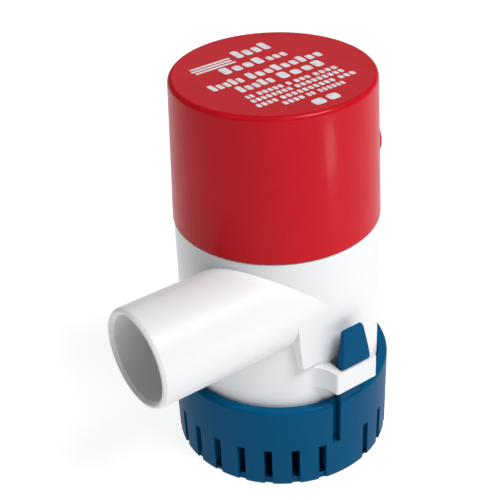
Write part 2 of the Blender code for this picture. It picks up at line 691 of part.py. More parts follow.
def build_magnet_clip():
    """Sprung steel bow that spreads the two magnets against the can."""
    middle = math.pi / 2
    spread = math.radians(25)
    thickness = 0.5 * MM
    leg = 13.4 * MM
    leg_turn = math.radians(2)
    outer = MAGNET_OUTER_R - 0.1 * MM
    outline = [polar(leg, middle - spread)]
    outline += arc(outer, middle - spread, middle + spread, 6)
    outline += [polar(leg, middle + spread), polar(leg, middle + spread - leg_turn)]
    outline += arc(outer - thickness, middle + spread - leg_turn, middle - spread + leg_turn, 6)
    outline += [polar(leg, middle - spread + leg_turn)]
    low, high = MAGNET_Z
    height = high - low - 4 * MM
    return plate("magnet_clip", [outline], height, STEEL, Matrix.Translation((0, 0, (low + high) / 2)))


def build_bearing(name, low, flange_low):
    """Sintered bush with a flange at its upper end."""
    bore = SHAFT_R + RUNNING
    flange_r = 5.5 * MM
    high = flange_low + 1.1 * MM
    profile = [(bore, high), (flange_r, high), (flange_r, flange_low), (BEARING_R, flange_low),
               (BEARING_R, low), (bore, low)]
    return turned(name, profile, BRONZE, SMALL_STEPS, closed=True)


def build_armature_core():
    """Lamination stack with five T-shaped poles."""
    pitch = 2 * math.pi / CORE_SLOTS
    mouth = SLOT_MOUTH / 2 / CORE_R
    pocket_steps = 10
    opening = math.asin(SLOT_MOUTH / 2 / SLOT_POCKET_R)
    outline = []
    for slot in range(CORE_SLOTS):
        middle = slot * pitch
        centre = polar(SLOT_RING_R, middle)
        for step in range(pocket_steps + 1):
            sweep = -opening - (2 * math.pi - 2 * opening) * step / pocket_steps
            x, y = polar(SLOT_POCKET_R, middle + sweep)
            outline.append((centre[0] + x, centre[1] + y))
        outline += arc(CORE_R, middle + mouth, middle + pitch - mouth, 6)
    low, high = CORE_Z
    return plate("armature_core", [outline, circle(ROTOR_BORE_R, TINY_STEPS)], high - low, LAMINATION,
                 Matrix.Translation((0, 0, (low + high) / 2)))


def build_armature_winding():
    """Enamelled copper coils: a bar through each slot and the end turns above and below."""
    low, high = WINDING_Z
    inner = 4.4 * MM
    outer = 11.0 * MM
    ends = []
    for bottom, top in ((low, CORE_Z[0] - GAP), (CORE_Z[1] + GAP, high)):
        shoulder = 0.8 * MM
        ends.append([(inner, top), (outer - shoulder, top), (outer, top - shoulder),
                     (outer, bottom + shoulder), (outer - shoulder, bottom), (inner, bottom)])
    winding = turned("armature_winding", ends[0], COPPER, SMALL_STEPS, closed=True)
    upper = turned("winding_upper", ends[1], None, SMALL_STEPS, closed=True)
    bars = []
    for slot in range(CORE_SLOTS):
        x, y = polar(SLOT_RING_R, slot * 2 * math.pi / CORE_SLOTS)
        bars.append(cylinder("winding_bar", SLOT_POCKET_R - 0.45 * MM, (x, y, low + 1 * MM),
                             (x, y, high - 1 * MM), steps=10))
    join(winding, upper, merged_tool("winding_bars", bars))
    return winding


def build_commutator():
    """Copper segments round the shaft, parted by five slits."""
    low, high = COMMUTATOR_Z
    riser = 1.0 * MM
    profile = [
        (ROTOR_BORE_R, high), (COMMUTATOR_R, high), (COMMUTATOR_R, low + riser),
        (COMMUTATOR_R + 0.9 * MM, low + riser), (COMMUTATOR_R + 0.9 * MM, low), (ROTOR_BORE_R, low),
    ]
    commutator = turned("commutator", profile, COPPER, SMALL_STEPS, closed=True)
    slits = []
    for index in range(CORE_SLOTS):
        slit = box("slit", (COMMUTATOR_R - 0.7 * MM, -0.2 * MM, low + riser + 0.2 * MM),
                   (COMMUTATOR_R + 1 * MM, 0.2 * MM, high + 1 * MM))
        slit.rotation_euler.z = 2 * math.pi * (index + 0.5) / CORE_SLOTS
        slits.append(slit)
    cut(commutator, merged_tool("commutator_slits", slits))
    return commutator


def build_end_bell():
    """Moulded motor lid with the bearing hole, the two brush holders and terminal slots."""
    low, high = BELL_Z
    rim = CAN_R - CAN_WALL - GAP
    profile = [
        (0.0, high), (8.0 * MM, high), (9.0 * MM, high - 1 * MM), (CAN_R - 0.6 * MM, high - 1 * MM),
        (CAN_R, high - 1.6 * MM), (CAN_R, low), (rim, low), (rim, low - 2.5 * MM), (0.0, low - 2.5 * MM),
    ]
    bell = turned("end_bell", profile, BLACK_PLASTIC, MID_STEPS)
    room = turned("bell_room", [
        (0.0, low), (rim - 1.2 * MM, low), (rim - 1.2 * MM, low - 4 * MM), (0.0, low - 4 * MM),
    ], steps=MID_STEPS)
    cut(bell, room)
    holder_low = BRUSH_Z - BRUSH_HEIGHT / 2 - 1.2 * MM
    half_width = BRUSH_WIDTH / 2 + GAP
    half_height = BRUSH_HEIGHT / 2 + GAP
    for side, label in ((-1, "left"), (1, "right")):
        ends = sorted((side * 5.4 * MM, side * HOLDER_OUTER))
        holder = box("holder_" + label, (ends[0], -3.4 * MM, holder_low), (ends[1], 3.4 * MM, low + 1 * MM))
        join(bell, holder)
        ends = sorted((side * 3 * MM, side * (HOLDER_OUTER - 1 * MM)))
        cut(bell, box("tunnel_" + label, (ends[0], -half_width, BRUSH_Z - half_height),
                      (ends[1], half_width, BRUSH_Z + half_height)))
    cut(bell, cylinder("bell_bearing_hole", BEARING_HOLE_R, (0, 0, low - 6 * MM), (0, 0, high + 2 * MM)))
    return bell


def build_brush(name, side):
    """Carbon block that rubs on the commutator, hollowed to the commutator's curve."""
    ends = sorted((side * (BRUSH_INNER - 1 * MM), side * (BRUSH_INNER + BRUSH_LENGTH)))
    brush = box(name, (ends[0], -BRUSH_WIDTH / 2, BRUSH_Z - BRUSH_HEIGHT / 2),
                (ends[1], BRUSH_WIDTH / 2, BRUSH_Z + BRUSH_HEIGHT / 2), CARBON)
    cut(brush, cylinder(name + "_face", BRUSH_INNER, (0, 0, BRUSH_Z - 5 * MM), (0, 0, BRUSH_Z + 5 * MM)))
    return brush


def build_brush_spring(name, side):
    """Small coil that pushes the brush inwards."""
    turns = 4
    per_turn = 7
    coil_r = 1.15 * MM
    wire_r = 0.2 * MM
    start = BRUSH_INNER + BRUSH_LENGTH + 0.5 * MM
    end = HOLDER_OUTER - 1 * MM - 0.5 * MM
    points = []
    for step in range(turns * per_turn + 1):
        share = step / (turns * per_turn)
        y, z = polar(coil_r, 2 * math.pi * turns * share)
        points.append((side * (start + (end - start) * share), y, BRUSH_Z + z))
    return wire(name, points, wire_r, STEEL, 1)


def build_terminal(name, side):
    """Brass tab standing on the end bell, bent over at its foot."""
    foot = BELL_Z[1] - 1 * MM + GAP
    thickness = 0.8 * MM
    reach = 3.0 * MM
    rise = 6.0 * MM
    outline = [(0.0, 0.0), (reach, 0.0), (reach, thickness), (thickness, thickness),
               (thickness, rise), (0.0, rise)]
    standing = Matrix.Rotation(math.pi / 2, 4, "X")
    tab = plate(name, [outline], 4.0 * MM, BRASS, standing)
    tab.location = (side * TERMINAL_X, 0.0, foot)
    if side < 0:
        half_turn(tab)
    return tab


# ---------------------------------------------------------------- rotor and impeller
def build_motor_shaft():
    low, high = SHAFT_Z
    tip = 0.4 * MM
    profile = [(0.0, high), (SHAFT_R - tip, high), (SHAFT_R, high - tip), (SHAFT_R, low + tip),
               (SHAFT_R - tip, low), (0.0, low)]
    return turned("motor_shaft", profile, STEEL, SMALL_STEPS)


def build_impeller():
    """Open impeller: hub, back plate and swept vanes that face the intake eye."""
    hub_bottom = IMPELLER_BOTTOM + 2.0 * MM
    profile = [
        (ROTOR_BORE_R, IMPELLER_TOP), (IMPELLER_HUB_R, IMPELLER_TOP),
        (IMPELLER_R, IMPELLER_PLATE_Z + 1.2 * MM), (IMPELLER_R, IMPELLER_PLATE_Z),
        (IMPELLER_HUB_R + 1 * MM, IMPELLER_PLATE_Z), (IMPELLER_HUB_R, IMPELLER_PLATE_Z - 1 * MM),
        (IMPELLER_HUB_R - 0.6 * MM, hub_bottom), (ROTOR_BORE_R, hub_bottom),
    ]
    impeller = turned("impeller", profile, BLACK_PLASTIC, MID_STEPS, closed=True)
    vane_steps = 7
    sweep = math.radians(55)
    root_r = IMPELLER_HUB_R - 0.9 * MM
    tip_r = IMPELLER_R - 0.2 * MM
    spine = []
    for step in range(vane_steps + 1):
        share = step / vane_steps
        spine.append(Vector(polar(root_r + (tip_r - root_r) * share, -sweep * share ** 1.3)))
    left = []
    right = []
    for index, point in enumerate(spine):
        before = spine[max(index - 1, 0)]
        after = spine[min(index + 1, vane_steps)]
        normal = (after - before).normalized().orthogonal() * VANE_THICKNESS / 2
        left.append(tuple(point + normal))
        right.append(tuple(point - normal))
    outline = right + left[::-1]
    height = IMPELLER_PLATE_Z - IMPELLER_BOTTOM + 0.5 * MM
    vanes = []
    for index in range(VANE_COUNT):
        place = Matrix.Rotation(2 * math.pi * index / VANE_COUNT, 4, "Z")
        place.translation.z = IMPELLER_BOTTOM + height / 2
        vanes.append(plate("vane", [outline], height, None, place))
    eye = turned("vane_eye_cut", [
        (0.0, hub_bottom), (5.2 * MM, hub_bottom), (6.5 * MM, IMPELLER_BOTTOM - 1 * MM),
        (0.0, IMPELLER_BOTTOM - 1 * MM),
    ], steps=SMALL_STEPS)
    join(impeller, merged_tool("vanes", vanes))
    cut(impeller, eye)
    return impeller


def build_impeller_nut():
    """Hexagon nut that holds the impeller on the shaft."""
    top = IMPELLER_BOTTOM + 2.0 * MM - GAP
    bottom = 18.3 * MM
    return plate("impeller_nut", [hexagon(6.4 * MM), circle(ROTOR_BORE_R, TINY_STEPS)], top - bottom,
                 STEEL, Matrix.Translation((0, 0, (top + bottom) / 2)))


# ---------------------------------------------------------------- control electronics
def build_control_board():
    """Round circuit board with three screw holes and a notch for the motor leads."""
    low, high = BOARD_Z
    outlines = [circle(BOARD_R, MID_STEPS)]
    for angle in POST_ANGLES:
        outlines.append(circle(1.3 * MM, 12, polar(POST_RING_R, angle)))
    for side in (-1, 1):
        outlines.append(circle(1.8 * MM, 12, (side * TERMINAL_X, 5 * MM)))
    return plate("control_board", outlines, high - low, BOARD_GREEN,
                 Matrix.Translation((0, 0, (low + high) / 2)))


def build_board_screw(name, angle):
    x, y = polar(POST_RING_R, angle)
    profile = [
        (0.0, BOARD_TOP + 1.5 * MM), (1.4 * MM, BOARD_TOP + 1.5 * MM), (2.1 * MM, BOARD_TOP + 0.9 * MM),
        (2.1 * MM, BOARD_TOP), (0.95 * MM, BOARD_TOP), (0.95 * MM, POST_TOP - 5 * MM),
        (0.0, POST_TOP - 5 * MM),
    ]
    screw = turned(name, profile, ZINC_STEEL, TINY_STEPS, at=(x, y, 0.0))
    groove = box(name + "_slot", (-3 * MM, -0.3 * MM, BOARD_TOP + 0.9 * MM),
                 (3 * MM, 0.3 * MM, BOARD_TOP + 3 * MM))
    groove.location = (x, y, 0.0)
    groove.rotation_euler.z = angle
    cut(screw, groove)
    return screw


def build_capacitor():
    """Electrolytic capacitor standing on the board."""
    radius = 5.0 * MM
    top = BOARD_TOP + 16 * MM
    profile = [(0.0, top - 0.4 * MM), (radius - 1.2 * MM, top - 0.4 * MM), (radius - 0.9 * MM, top),
               (radius - 0.4 * MM, top), (radius, top - 0.5 * MM), (radius, BOARD_TOP + 2.6 * MM),
               (radius - 0.5 * MM, BOARD_TOP + 2.1 * MM), (radius, BOARD_TOP + 1.6 * MM),
               (radius, BOARD_TOP), (0.0, BOARD_TOP)]
    return turned("capacitor", profile, SLEEVE, SMALL_STEPS, at=(-10 * MM, -9 * MM, 0.0))


def build_power_transistor():
    """Upright power transistor with its mounting tab."""
    low = BOARD_TOP
    transistor = box("power_transistor", (2 * MM, 6.0 * MM, low + 2 * MM),
                     (12 * MM, 10.4 * MM, low + 11 * MM), BLACK_PLASTIC)
    tab = box("transistor_tab", (2.2 * MM, 9.0 * MM, low + 3 * MM), (11.8 * MM, 10.2 * MM, low + 17 * MM))
    join(transistor, tab)
    for index in range(3):
        x = 7 * MM + (index - 1) * 2.54 * MM
        join(transistor, box("leg_" + str(index), (x - 0.4 * MM, 7.4 * MM, low),
                             (x + 0.4 * MM, 8.0 * MM, low + 3 * MM)))
    cut(transistor, cylinder("tab_hole", 1.7 * MM, (7 * MM, 5 * MM, low + 14 * MM),
                             (7 * MM, 14 * MM, low + 14 * MM), steps=TINY_STEPS))
    return transistor


def build_heat_sink():
    """Finned aluminium block behind the transistor."""
    low = BOARD_TOP
    front = 10.7 * MM
    back = front + 7.0 * MM
    fins = 6
    fin = 1.0 * MM
    width = 16.0 * MM
    left = 7 * MM - width / 2
    sink = box("heat_sink", (left, front, low), (left + width, front + 2 * MM, low + 16 * MM), ALUMINIUM)
    pieces = []
    for index in range(fins):
        x = left + 0.2 * MM + (width - fin - 0.4 * MM) * index / (fins - 1)
        pieces.append(box("fin", (x, front + 1 * MM, low + 0.2 * MM), (x + fin, back, low + 15.8 * MM)))
    join(sink, merged_tool("fins", pieces))
    return sink


def build_controller_chip():
    """Surface-mount controller with eight legs."""
    low = BOARD_TOP
    chip = box("controller_chip", (-3.0 * MM, -16 * MM, low + 0.3 * MM),
               (3.0 * MM, -10 * MM, low + 2.2 * MM), BLACK_PLASTIC)
    legs = []
    for side in (-1, 1):
        for index in range(4):
            y = -14.9 * MM + index * 1.27 * MM
            ends = sorted((side * 2.5 * MM, side * 4.4 * MM))
            legs.append(box("leg", (ends[0], y - 0.25 * MM, low + 0.1 * MM),
                            (ends[1], y + 0.25 * MM, low + 0.6 * MM)))
    join(chip, merged_tool("chip_legs", legs))
    return chip


def build_flyback_diode():
    """Diode lying on the board with its two bent leads."""
    low = BOARD_TOP
    radius = 2.4 * MM
    centre = (13.0 * MM, -8.0 * MM, low + radius + 0.3 * MM)
    profile = [(0.0, 4.5 * MM), (radius, 4.5 * MM), (radius, -4.5 * MM), (0.0, -4.5 * MM)]
    diode = turned("flyback_diode", profile, BLACK_PLASTIC, TINY_STEPS, axis="X", at=centre)
    x, y, z = centre
    for side, label in ((-1, "left"), (1, "right")):
        ends = sorted((x + side * 4 * MM, x + side * 7 * MM))
        join(diode, box("lead_" + label, (ends[0], y - 0.4 * MM, z - 0.4 * MM),
                        (ends[1], y + 0.4 * MM, z + 0.4 * MM)))
        ends = sorted((x + side * 6.2 * MM, x + side * 7 * MM))
        join(diode, box("lead_foot_" + label, (ends[0], y - 0.4 * MM, low),
                        (ends[1], y + 0.4 * MM, z + 0.35 * MM)))
    return diode


def build_lead(name, side, finish):
    """Insulated wire from a motor terminal up through the board."""
    start = Vector((side * (TERMINAL_X - 1.4 * MM), 0.0, BELL_Z[1] + 3.2 * MM))
    end = Vector((side * TERMINAL_X, 5 * MM, BOARD_Z[1] + 1.5 * MM))
    bend = Vector((start.x, 1 * MM, start.z + 4 * MM))
    under = Vector((end.x, end.y, BOARD_Z[0] - 2.5 * MM))
    points = []
    steps = 12
    for step in range(steps + 1):
        t = step / steps
        early = (1 - t) ** 3 * start + 3 * (1 - t) ** 2 * t * bend
        late = 3 * (1 - t) * t ** 2 * under + t ** 3 * end
        points.append(early + late)
    return wire(name, points, 0.9 * MM, finish)


# ---------------------------------------------------------------- cap
def build_motor_cap():
    """Red cover over the electronics, sleeved over the housing's spigot."""
    fillet = 1.5 * MM
    inner_top = HEIGHT - CAP_WALL
    outer = [(0.0, HEIGHT)] + rounded(CAP_R_TOP, HEIGHT, fillet, 4)
    profile = outer + [
        (CAP_R_BOTTOM, CAP_BOTTOM), (CAP_R_BOTTOM - CAP_WALL, CAP_BOTTOM),
        (CAP_R_BOTTOM - CAP_WALL, SPIGOT_TOP), (CAP_R_TOP - CAP_WALL, inner_top - 1 * MM),
        (CAP_R_TOP - CAP_WALL - 1 * MM, inner_top), (0.0, inner_top),
    ]
    cap = turned("motor_cap", profile, RED_PLASTIC, BIG_STEPS)
    face = GLAND_BOSS_END
    boss = turned("gland_boss", [
        (0.0, face), (GLAND_BOSS_R - 0.5 * MM, face), (GLAND_BOSS_R, face - 0.5 * MM),
        (GLAND_BOSS_R, CAP_R_TOP - 1.5 * MM), (0.0, CAP_R_TOP - 1.5 * MM),
    ], steps=SMALL_STEPS, axis="X", at=(0.0, 0.0, GLAND_Z))
    hole = cylinder("gland_hole", 3.5 * MM, (20 * MM, 0, 0), (36 * MM, 0, 0))
    hole.location.z = GLAND_Z
    boss.rotation_euler.z = GLAND_ANGLE
    hole.rotation_euler.z = GLAND_ANGLE
    join(cap, boss)
    cut(cap, hole)
    return cap


def build_cable_gland():
    """Rubber grommet that fills the cap's boss, with the cable bore through it."""
    wall_inner = CAP_R_TOP - CAP_WALL
    face = GLAND_BOSS_END - 0.2 * MM
    bore = 1.7 * MM
    neck = 3.2 * MM
    flange = 4.6 * MM
    profile = [
        (bore, face - 0.3 * MM), (bore + 0.4 * MM, face), (neck - 0.2 * MM, face),
        (neck, face - 0.2 * MM), (neck, wall_inner - 0.6 * MM), (flange, wall_inner - 0.6 * MM),
        (flange, wall_inner - 2.0 * MM), (bore, wall_inner - 2.0 * MM),
    ]
    gland = turned("cable_gland", profile, RUBBER, SMALL_STEPS, axis="X", closed=True,
                   at=(0.0, 0.0, GLAND_Z))
    gland.rotation_euler.z = GLAND_ANGLE
    return gland


# ---------------------------------------------------------------- the whole pump
def build_pump():
    build_strainer_base()
    build_latch_tab("latch_tab_front", rear=False)
    build_latch_tab("latch_tab_rear", rear=True)
    build_pump_housing()
    build_intake_plate()
    build_motor_chamber()
    o_ring("chamber_seal", CHAMBER_SEAL_R, SEAL_R, FLANGE_LEDGE_Z + GAP + SEAL_R, RUBBER)
    o_ring("cap_seal", CAP_SEAL_R, SEAL_R, CAP_SEAL_Z, RUBBER)
    build_shaft_seal()
    washer("seal_retainer", SHAFT_R + 0.6 * MM, SEAL_POCKET_R - GAP, HUB_TOP - 0.5 * MM, HUB_TOP - 0.05 * MM,
           STEEL)
    build_motor_can()
    build_magnet("magnet_left", math.pi)
    build_magnet("magnet_right", 0.0)
    build_magnet_clip()
    build_bearing("lower_bearing", CAN_BOTTOM + 0.1 * MM, CAN_BOTTOM + CAN_WALL + GAP)
    build_bearing("upper_bearing", BELL_Z[0] + 0.1 * MM, BELL_Z[1] + GAP)
    build_motor_shaft()
    washer("shaft_spacer", ROTOR_BORE_R, 3.4 * MM, 39.0 * MM, WINDING_Z[0] - GAP, BLACK_PLASTIC)
    build_armature_core()
    build_armature_winding()
    build_commutator()
    build_end_bell()
    for side, label, jacket in ((-1, "left", RED_WIRE), (1, "right", BLACK_WIRE)):
        build_brush("brush_" + label, side)
        build_brush_spring("brush_spring_" + label, side)
        build_terminal("motor_terminal_" + label, side)
        build_lead("motor_lead_" + label, side, jacket)
        build_motor_screw("motor_screw_" + label, side)
    build_impeller()
    build_impeller_nut()
    build_control_board()
    for index, angle in enumerate(POST_ANGLES):
        build_board_screw("board_screw_" + str(index + 1), angle)
    build_capacitor()
    build_power_transistor()
    build_heat_sink()
    build_controller_chip()
    build_flyback_diode()
    build_motor_cap()
    build_cable_gland()


build_pump()
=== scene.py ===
"""Looks of the bilge pump: fine meshes, procedural materials, light, floor and camera.

Frame: metres, origin at the centre of the strainer's underside, +Z up the motor axis,
outlet tube along -X, latches at -Y and +Y.
"""
import json
import math

import bmesh
import bpy
from mathutils import Matrix, Vector


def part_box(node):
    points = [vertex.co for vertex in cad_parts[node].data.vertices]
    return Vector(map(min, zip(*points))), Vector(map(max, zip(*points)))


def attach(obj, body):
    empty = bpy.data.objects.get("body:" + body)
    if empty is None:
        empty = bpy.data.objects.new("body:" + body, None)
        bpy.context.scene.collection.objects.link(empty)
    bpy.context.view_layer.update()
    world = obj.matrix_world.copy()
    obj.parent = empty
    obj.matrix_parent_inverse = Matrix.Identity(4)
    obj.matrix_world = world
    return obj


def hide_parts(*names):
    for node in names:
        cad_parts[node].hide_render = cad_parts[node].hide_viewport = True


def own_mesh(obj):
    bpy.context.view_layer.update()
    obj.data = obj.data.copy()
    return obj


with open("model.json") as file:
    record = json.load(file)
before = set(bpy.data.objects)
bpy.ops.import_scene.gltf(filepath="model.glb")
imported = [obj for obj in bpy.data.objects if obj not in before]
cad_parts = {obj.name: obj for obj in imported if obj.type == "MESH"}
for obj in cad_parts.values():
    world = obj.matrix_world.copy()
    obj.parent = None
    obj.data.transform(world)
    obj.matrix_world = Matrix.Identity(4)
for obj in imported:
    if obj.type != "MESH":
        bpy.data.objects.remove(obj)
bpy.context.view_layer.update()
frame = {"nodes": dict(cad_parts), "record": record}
NODES = frame["nodes"]
MM = 0.001

# ---------------------------------------------------------------- camera
BODY_R = 0.0295                    # the camera's place was worked out in body radii
CAMERA_LENS = 82.30                # in mm, on a sensor 36 mm wide
CAMERA_DISTANCE = 11.398
CAMERA_RISE = math.radians(32.748)
CAMERA_TURN = math.radians(-36.5)
CAMERA_ROLL = -0.0432
AIM_HEIGHT = 2.1312
AIM_SIDE = -0.2747


def build_camera():
    """Camera that looks down on the pump's front and outlet side."""
    data = bpy.data.cameras.new("camera")
    data.lens = CAMERA_LENS
    data.sensor_width = 36.0
    data.clip_start = 0.01
    camera = bpy.data.objects.new("camera", data)
    bpy.context.scene.collection.objects.link(camera)
    target = Vector((AIM_SIDE, 0.0, AIM_HEIGHT)) * BODY_R
    place = Vector((0.0, -CAMERA_DISTANCE * math.cos(CAMERA_RISE),
                    AIM_HEIGHT + CAMERA_DISTANCE * math.sin(CAMERA_RISE))) * BODY_R
    forward = (target - place).normalized()
    level = forward.cross(Vector((0, 0, 1))).normalized()
    up = level.cross(forward)
    right = math.cos(CAMERA_ROLL) * level + math.sin(CAMERA_ROLL) * up
    top = -math.sin(CAMERA_ROLL) * level + math.cos(CAMERA_ROLL) * up
    matrix = Matrix((right, top, -forward)).transposed().to_4x4()
    matrix.translation = place
    camera.matrix_world = Matrix.Rotation(CAMERA_TURN, 4, "Z") @ matrix
    bpy.context.scene.camera = camera


def from_camera_side(right, toward, up):
    """A place given to the viewer's right, towards the viewer and up, from the pump's foot."""
    return Matrix.Rotation(CAMERA_TURN, 4, "Z") @ Vector((right, -toward, up))


# ---------------------------------------------------------------- node helpers
class Shade:
    """A material's node tree with short calls to build it."""

    def __init__(self, name):
        self.material = bpy.data.materials.new(name)
        self.material.use_nodes = True
        self.tree = self.material.node_tree
        self.shader = self.tree.nodes["Principled BSDF"]
        self.where = self.add("ShaderNodeTexCoord").outputs["Object"]

    def add(self, kind, **settings):
        node = self.tree.nodes.new(kind)
        for key, value in settings.items():
            setattr(node, key, value)
        return node

    def link(self, start, end):
        self.tree.links.new(start, end)

    def stretched(self, scale):
        node = self.add("ShaderNodeMapping")
        node.inputs["Scale"].default_value = scale
        self.link(self.where, node.inputs["Vector"])
        return node.outputs["Vector"]

    def noise(self, scale, detail=3.0, roughness=0.55, vector=None, distortion=0.0):
        node = self.add("ShaderNodeTexNoise")
        node.inputs["Scale"].default_value = scale
        node.inputs["Detail"].default_value = detail
        node.inputs["Roughness"].default_value = roughness
        node.inputs["Distortion"].default_value = distortion
        self.link(vector or self.where, node.inputs["Vector"])
        return node.outputs["Fac"]

    def voronoi(self, scale):
        node = self.add("ShaderNodeTexVoronoi")
        node.inputs["Scale"].default_value = scale
        self.link(self.where, node.inputs["Vector"])
        return node.outputs["Distance"]

    def wave(self, scale, direction, distortion=0.0):
        node = self.add("ShaderNodeTexWave", bands_direction=direction)
        node.inputs["Scale"].default_value = scale
        node.inputs["Distortion"].default_value = distortion
        node.inputs["Detail"].default_value = 2.0
        node.inputs["Detail Scale"].default_value = 1.5
        self.link(self.where, node.inputs["Vector"])
        return node.outputs["Fac"]

    def ramp(self, source, low, high, start=0.0, end=1.0):
        node = self.add("ShaderNodeMapRange")
        node.inputs["From Min"].default_value = low
        node.inputs["From Max"].default_value = high
        node.inputs["To Min"].default_value = start
        node.inputs["To Max"].default_value = end
        self.link(source, node.inputs["Value"])
        return node.outputs["Result"]

    def blend(self, factor, first, second):
        node = self.add("ShaderNodeMix", data_type="RGBA")
        self.link(factor, node.inputs["Factor"])
        for name, value in (("A", first), ("B", second)):
            socket = [s for s in node.inputs if s.name == name and s.type == "RGBA"][0]
            if isinstance(value, tuple):
                socket.default_value = (*value, 1.0)
            else:
                self.link(value, socket)
        return [s for s in node.outputs if s.type == "RGBA"][0]

    def math(self, operation, first, second):
        node = self.add("ShaderNodeMath", operation=operation)
        for socket, value in zip(node.inputs, (first, second)):
            if isinstance(value, (int, float)):
                socket.default_value = value
            else:
                self.link(value, socket)
        return node.outputs["Value"]

    def bump(self, height, strength, distance, below=None):
        node = self.add("ShaderNodeBump")
        node.inputs["Strength"].default_value = strength
        node.inputs["Distance"].default_value = distance
        self.link(height, node.inputs["Height"])
        if below is not None:
            self.link(below, node.inputs["Normal"])
        return node.outputs["Normal"]

    def set(self, name, value):
        socket = self.shader.inputs[name]
        if isinstance(value, (int, float)):
            socket.default_value = value
        elif isinstance(value, tuple):
            socket.default_value = (*value, 1.0) if len(value) == 3 else value
        else:
            self.link(value, socket)


# ---------------------------------------------------------------- materials
def moulded(name, colour, second, roughness, shine=0.5, grain=0.05, sway=0.05, coat=0.0, haze=0.03):
    """Injection-moulded plastic: flow marks in the colour, fine drawn lines in the gloss,
    a very fine eroded grain and slow sink marks in the surface."""
    s = Shade(name)
    flow = s.noise(38.0, 4.0, 0.6, distortion=0.8)
    specks = s.noise(900.0, 2.0, 0.5)
    tint = s.math("ADD", s.ramp(flow, 0.32, 0.68), s.ramp(specks, 0.4, 0.6, -0.12, 0.12))
    s.set("Base Color", s.blend(s.ramp(tint, 0.0, 1.0), colour, second))
    drawn = s.noise(1.0, 5.0, 0.65, s.stretched((1500.0, 1500.0, 45.0)))
    cloud = s.noise(120.0, 5.0, 0.6)
    gloss = s.math("ADD", s.ramp(drawn, 0.35, 0.65, roughness - haze, roughness + haze),
                   s.ramp(cloud, 0.35, 0.65, -haze, haze))
    s.set("Roughness", gloss)
    eroded = s.noise(2600.0, 3.0, 0.5)
    sink = s.noise(70.0, 2.0, 0.4)
    normal = s.bump(eroded, grain, 0.00005)
    s.set("Normal", s.bump(sink, sway, 0.0006, normal))
    s.set("IOR", 1.49)
    s.set("Specular IOR Level", shine)
    s.set("Coat Weight", coat)
    s.set("Coat Roughness", 0.14)
    return s.material


def metal(name, colour, second, roughness, lines=(60.0, 60.0, 2400.0)):
    """Worked metal: fine turning or rolling lines, mottled gloss and small pits."""
    spread = 0.10
    s = Shade(name)
    mottle = s.noise(210.0, 5.0, 0.6)
    s.set("Base Color", s.blend(s.ramp(mottle, 0.35, 0.65), colour, second))
    drawn = s.noise(1.0, 4.0, 0.6, s.stretched(lines))
    s.set("Roughness", s.ramp(drawn, 0.3, 0.7, roughness - spread, roughness + spread))
    pits = s.noise(1900.0, 3.0, 0.6)
    normal = s.bump(drawn, 0.08, 0.00004)
    s.set("Normal", s.bump(pits, 0.05, 0.00004, normal))
    s.set("Metallic", 1.0)
    return s.material


def build_materials():
    made = {}
    made["red_plastic"] = moulded("red_plastic", (0.555, 0.006, 0.014), (0.515, 0.004, 0.012), 0.34,
                                  0.07, 0.05, 0.04, 0.11, 0.02)
    made["white_plastic"] = moulded("white_plastic", (0.800, 0.811, 0.827), (0.78, 0.791, 0.806), 0.38, 0.3)
    made["blue_plastic"] = moulded("blue_plastic", (0.0002, 0.080, 0.190), (0.0002, 0.072, 0.172), 0.42,
                                   0.03, 0.07, 0.05, 0.03)
    made["grey_plastic"] = moulded("grey_plastic", (0.30, 0.31, 0.32), (0.26, 0.27, 0.28), 0.45, 0.4, 0.12)
    made["black_plastic"] = moulded("black_plastic", (0.020, 0.020, 0.021), (0.032, 0.032, 0.033), 0.42,
                                    0.4, 0.15)
    made["stainless_steel"] = metal("stainless_steel", (0.62, 0.61, 0.59), (0.52, 0.52, 0.51), 0.28)
    made["zinc_plated_steel"] = metal("zinc_plated_steel", (0.50, 0.51, 0.53), (0.42, 0.43, 0.47), 0.36)
    made["aluminium"] = metal("aluminium", (0.63, 0.64, 0.65), (0.54, 0.55, 0.56), 0.36,
                              (2200.0, 60.0, 60.0))
    made["brass"] = metal("brass", (0.72, 0.53, 0.22), (0.60, 0.41, 0.15), 0.30)
    made["sintered_bronze"] = sintered()
    made["lamination_steel"] = laminated()
    made["copper"] = wound_copper()
    made["ferrite"] = gritty("ferrite", (0.045, 0.043, 0.045), (0.085, 0.080, 0.080), 0.62, 1300.0)
    made["carbon"] = gritty("carbon", (0.024, 0.024, 0.026), (0.065, 0.062, 0.058), 0.45, 1800.0)
    made["black_rubber"] = rubber()
    made["board_laminate"] = circuit_board()
    made["capacitor_sleeve"] = sleeve()
    made["red_wire_jacket"] = jacket("red_wire_jacket", (0.50, 0.010, 0.012), (0.40, 0.008, 0.010))
    made["black_wire_jacket"] = jacket("black_wire_jacket", (0.012, 0.012, 0.012), (0.030, 0.030, 0.030))
    return made


def sintered():
    """Oil-filled bronze: porous, dull, darker in the pores."""
    s = Shade("sintered_bronze")
    pores = s.voronoi(2200.0)
    patch = s.noise(260.0, 4.0)
    mix = s.math("MULTIPLY", s.ramp(pores, 0.1, 0.5), s.ramp(patch, 0.3, 0.7, 0.6, 1.0))
    s.set("Base Color", s.blend(mix, (0.26, 0.16, 0.08), (0.52, 0.33, 0.17)))
    s.set("Roughness", s.ramp(patch, 0.3, 0.7, 0.48, 0.66))
    s.set("Normal", s.bump(pores, 0.25, 0.00008))
    s.set("Metallic", 1.0)
    return s.material


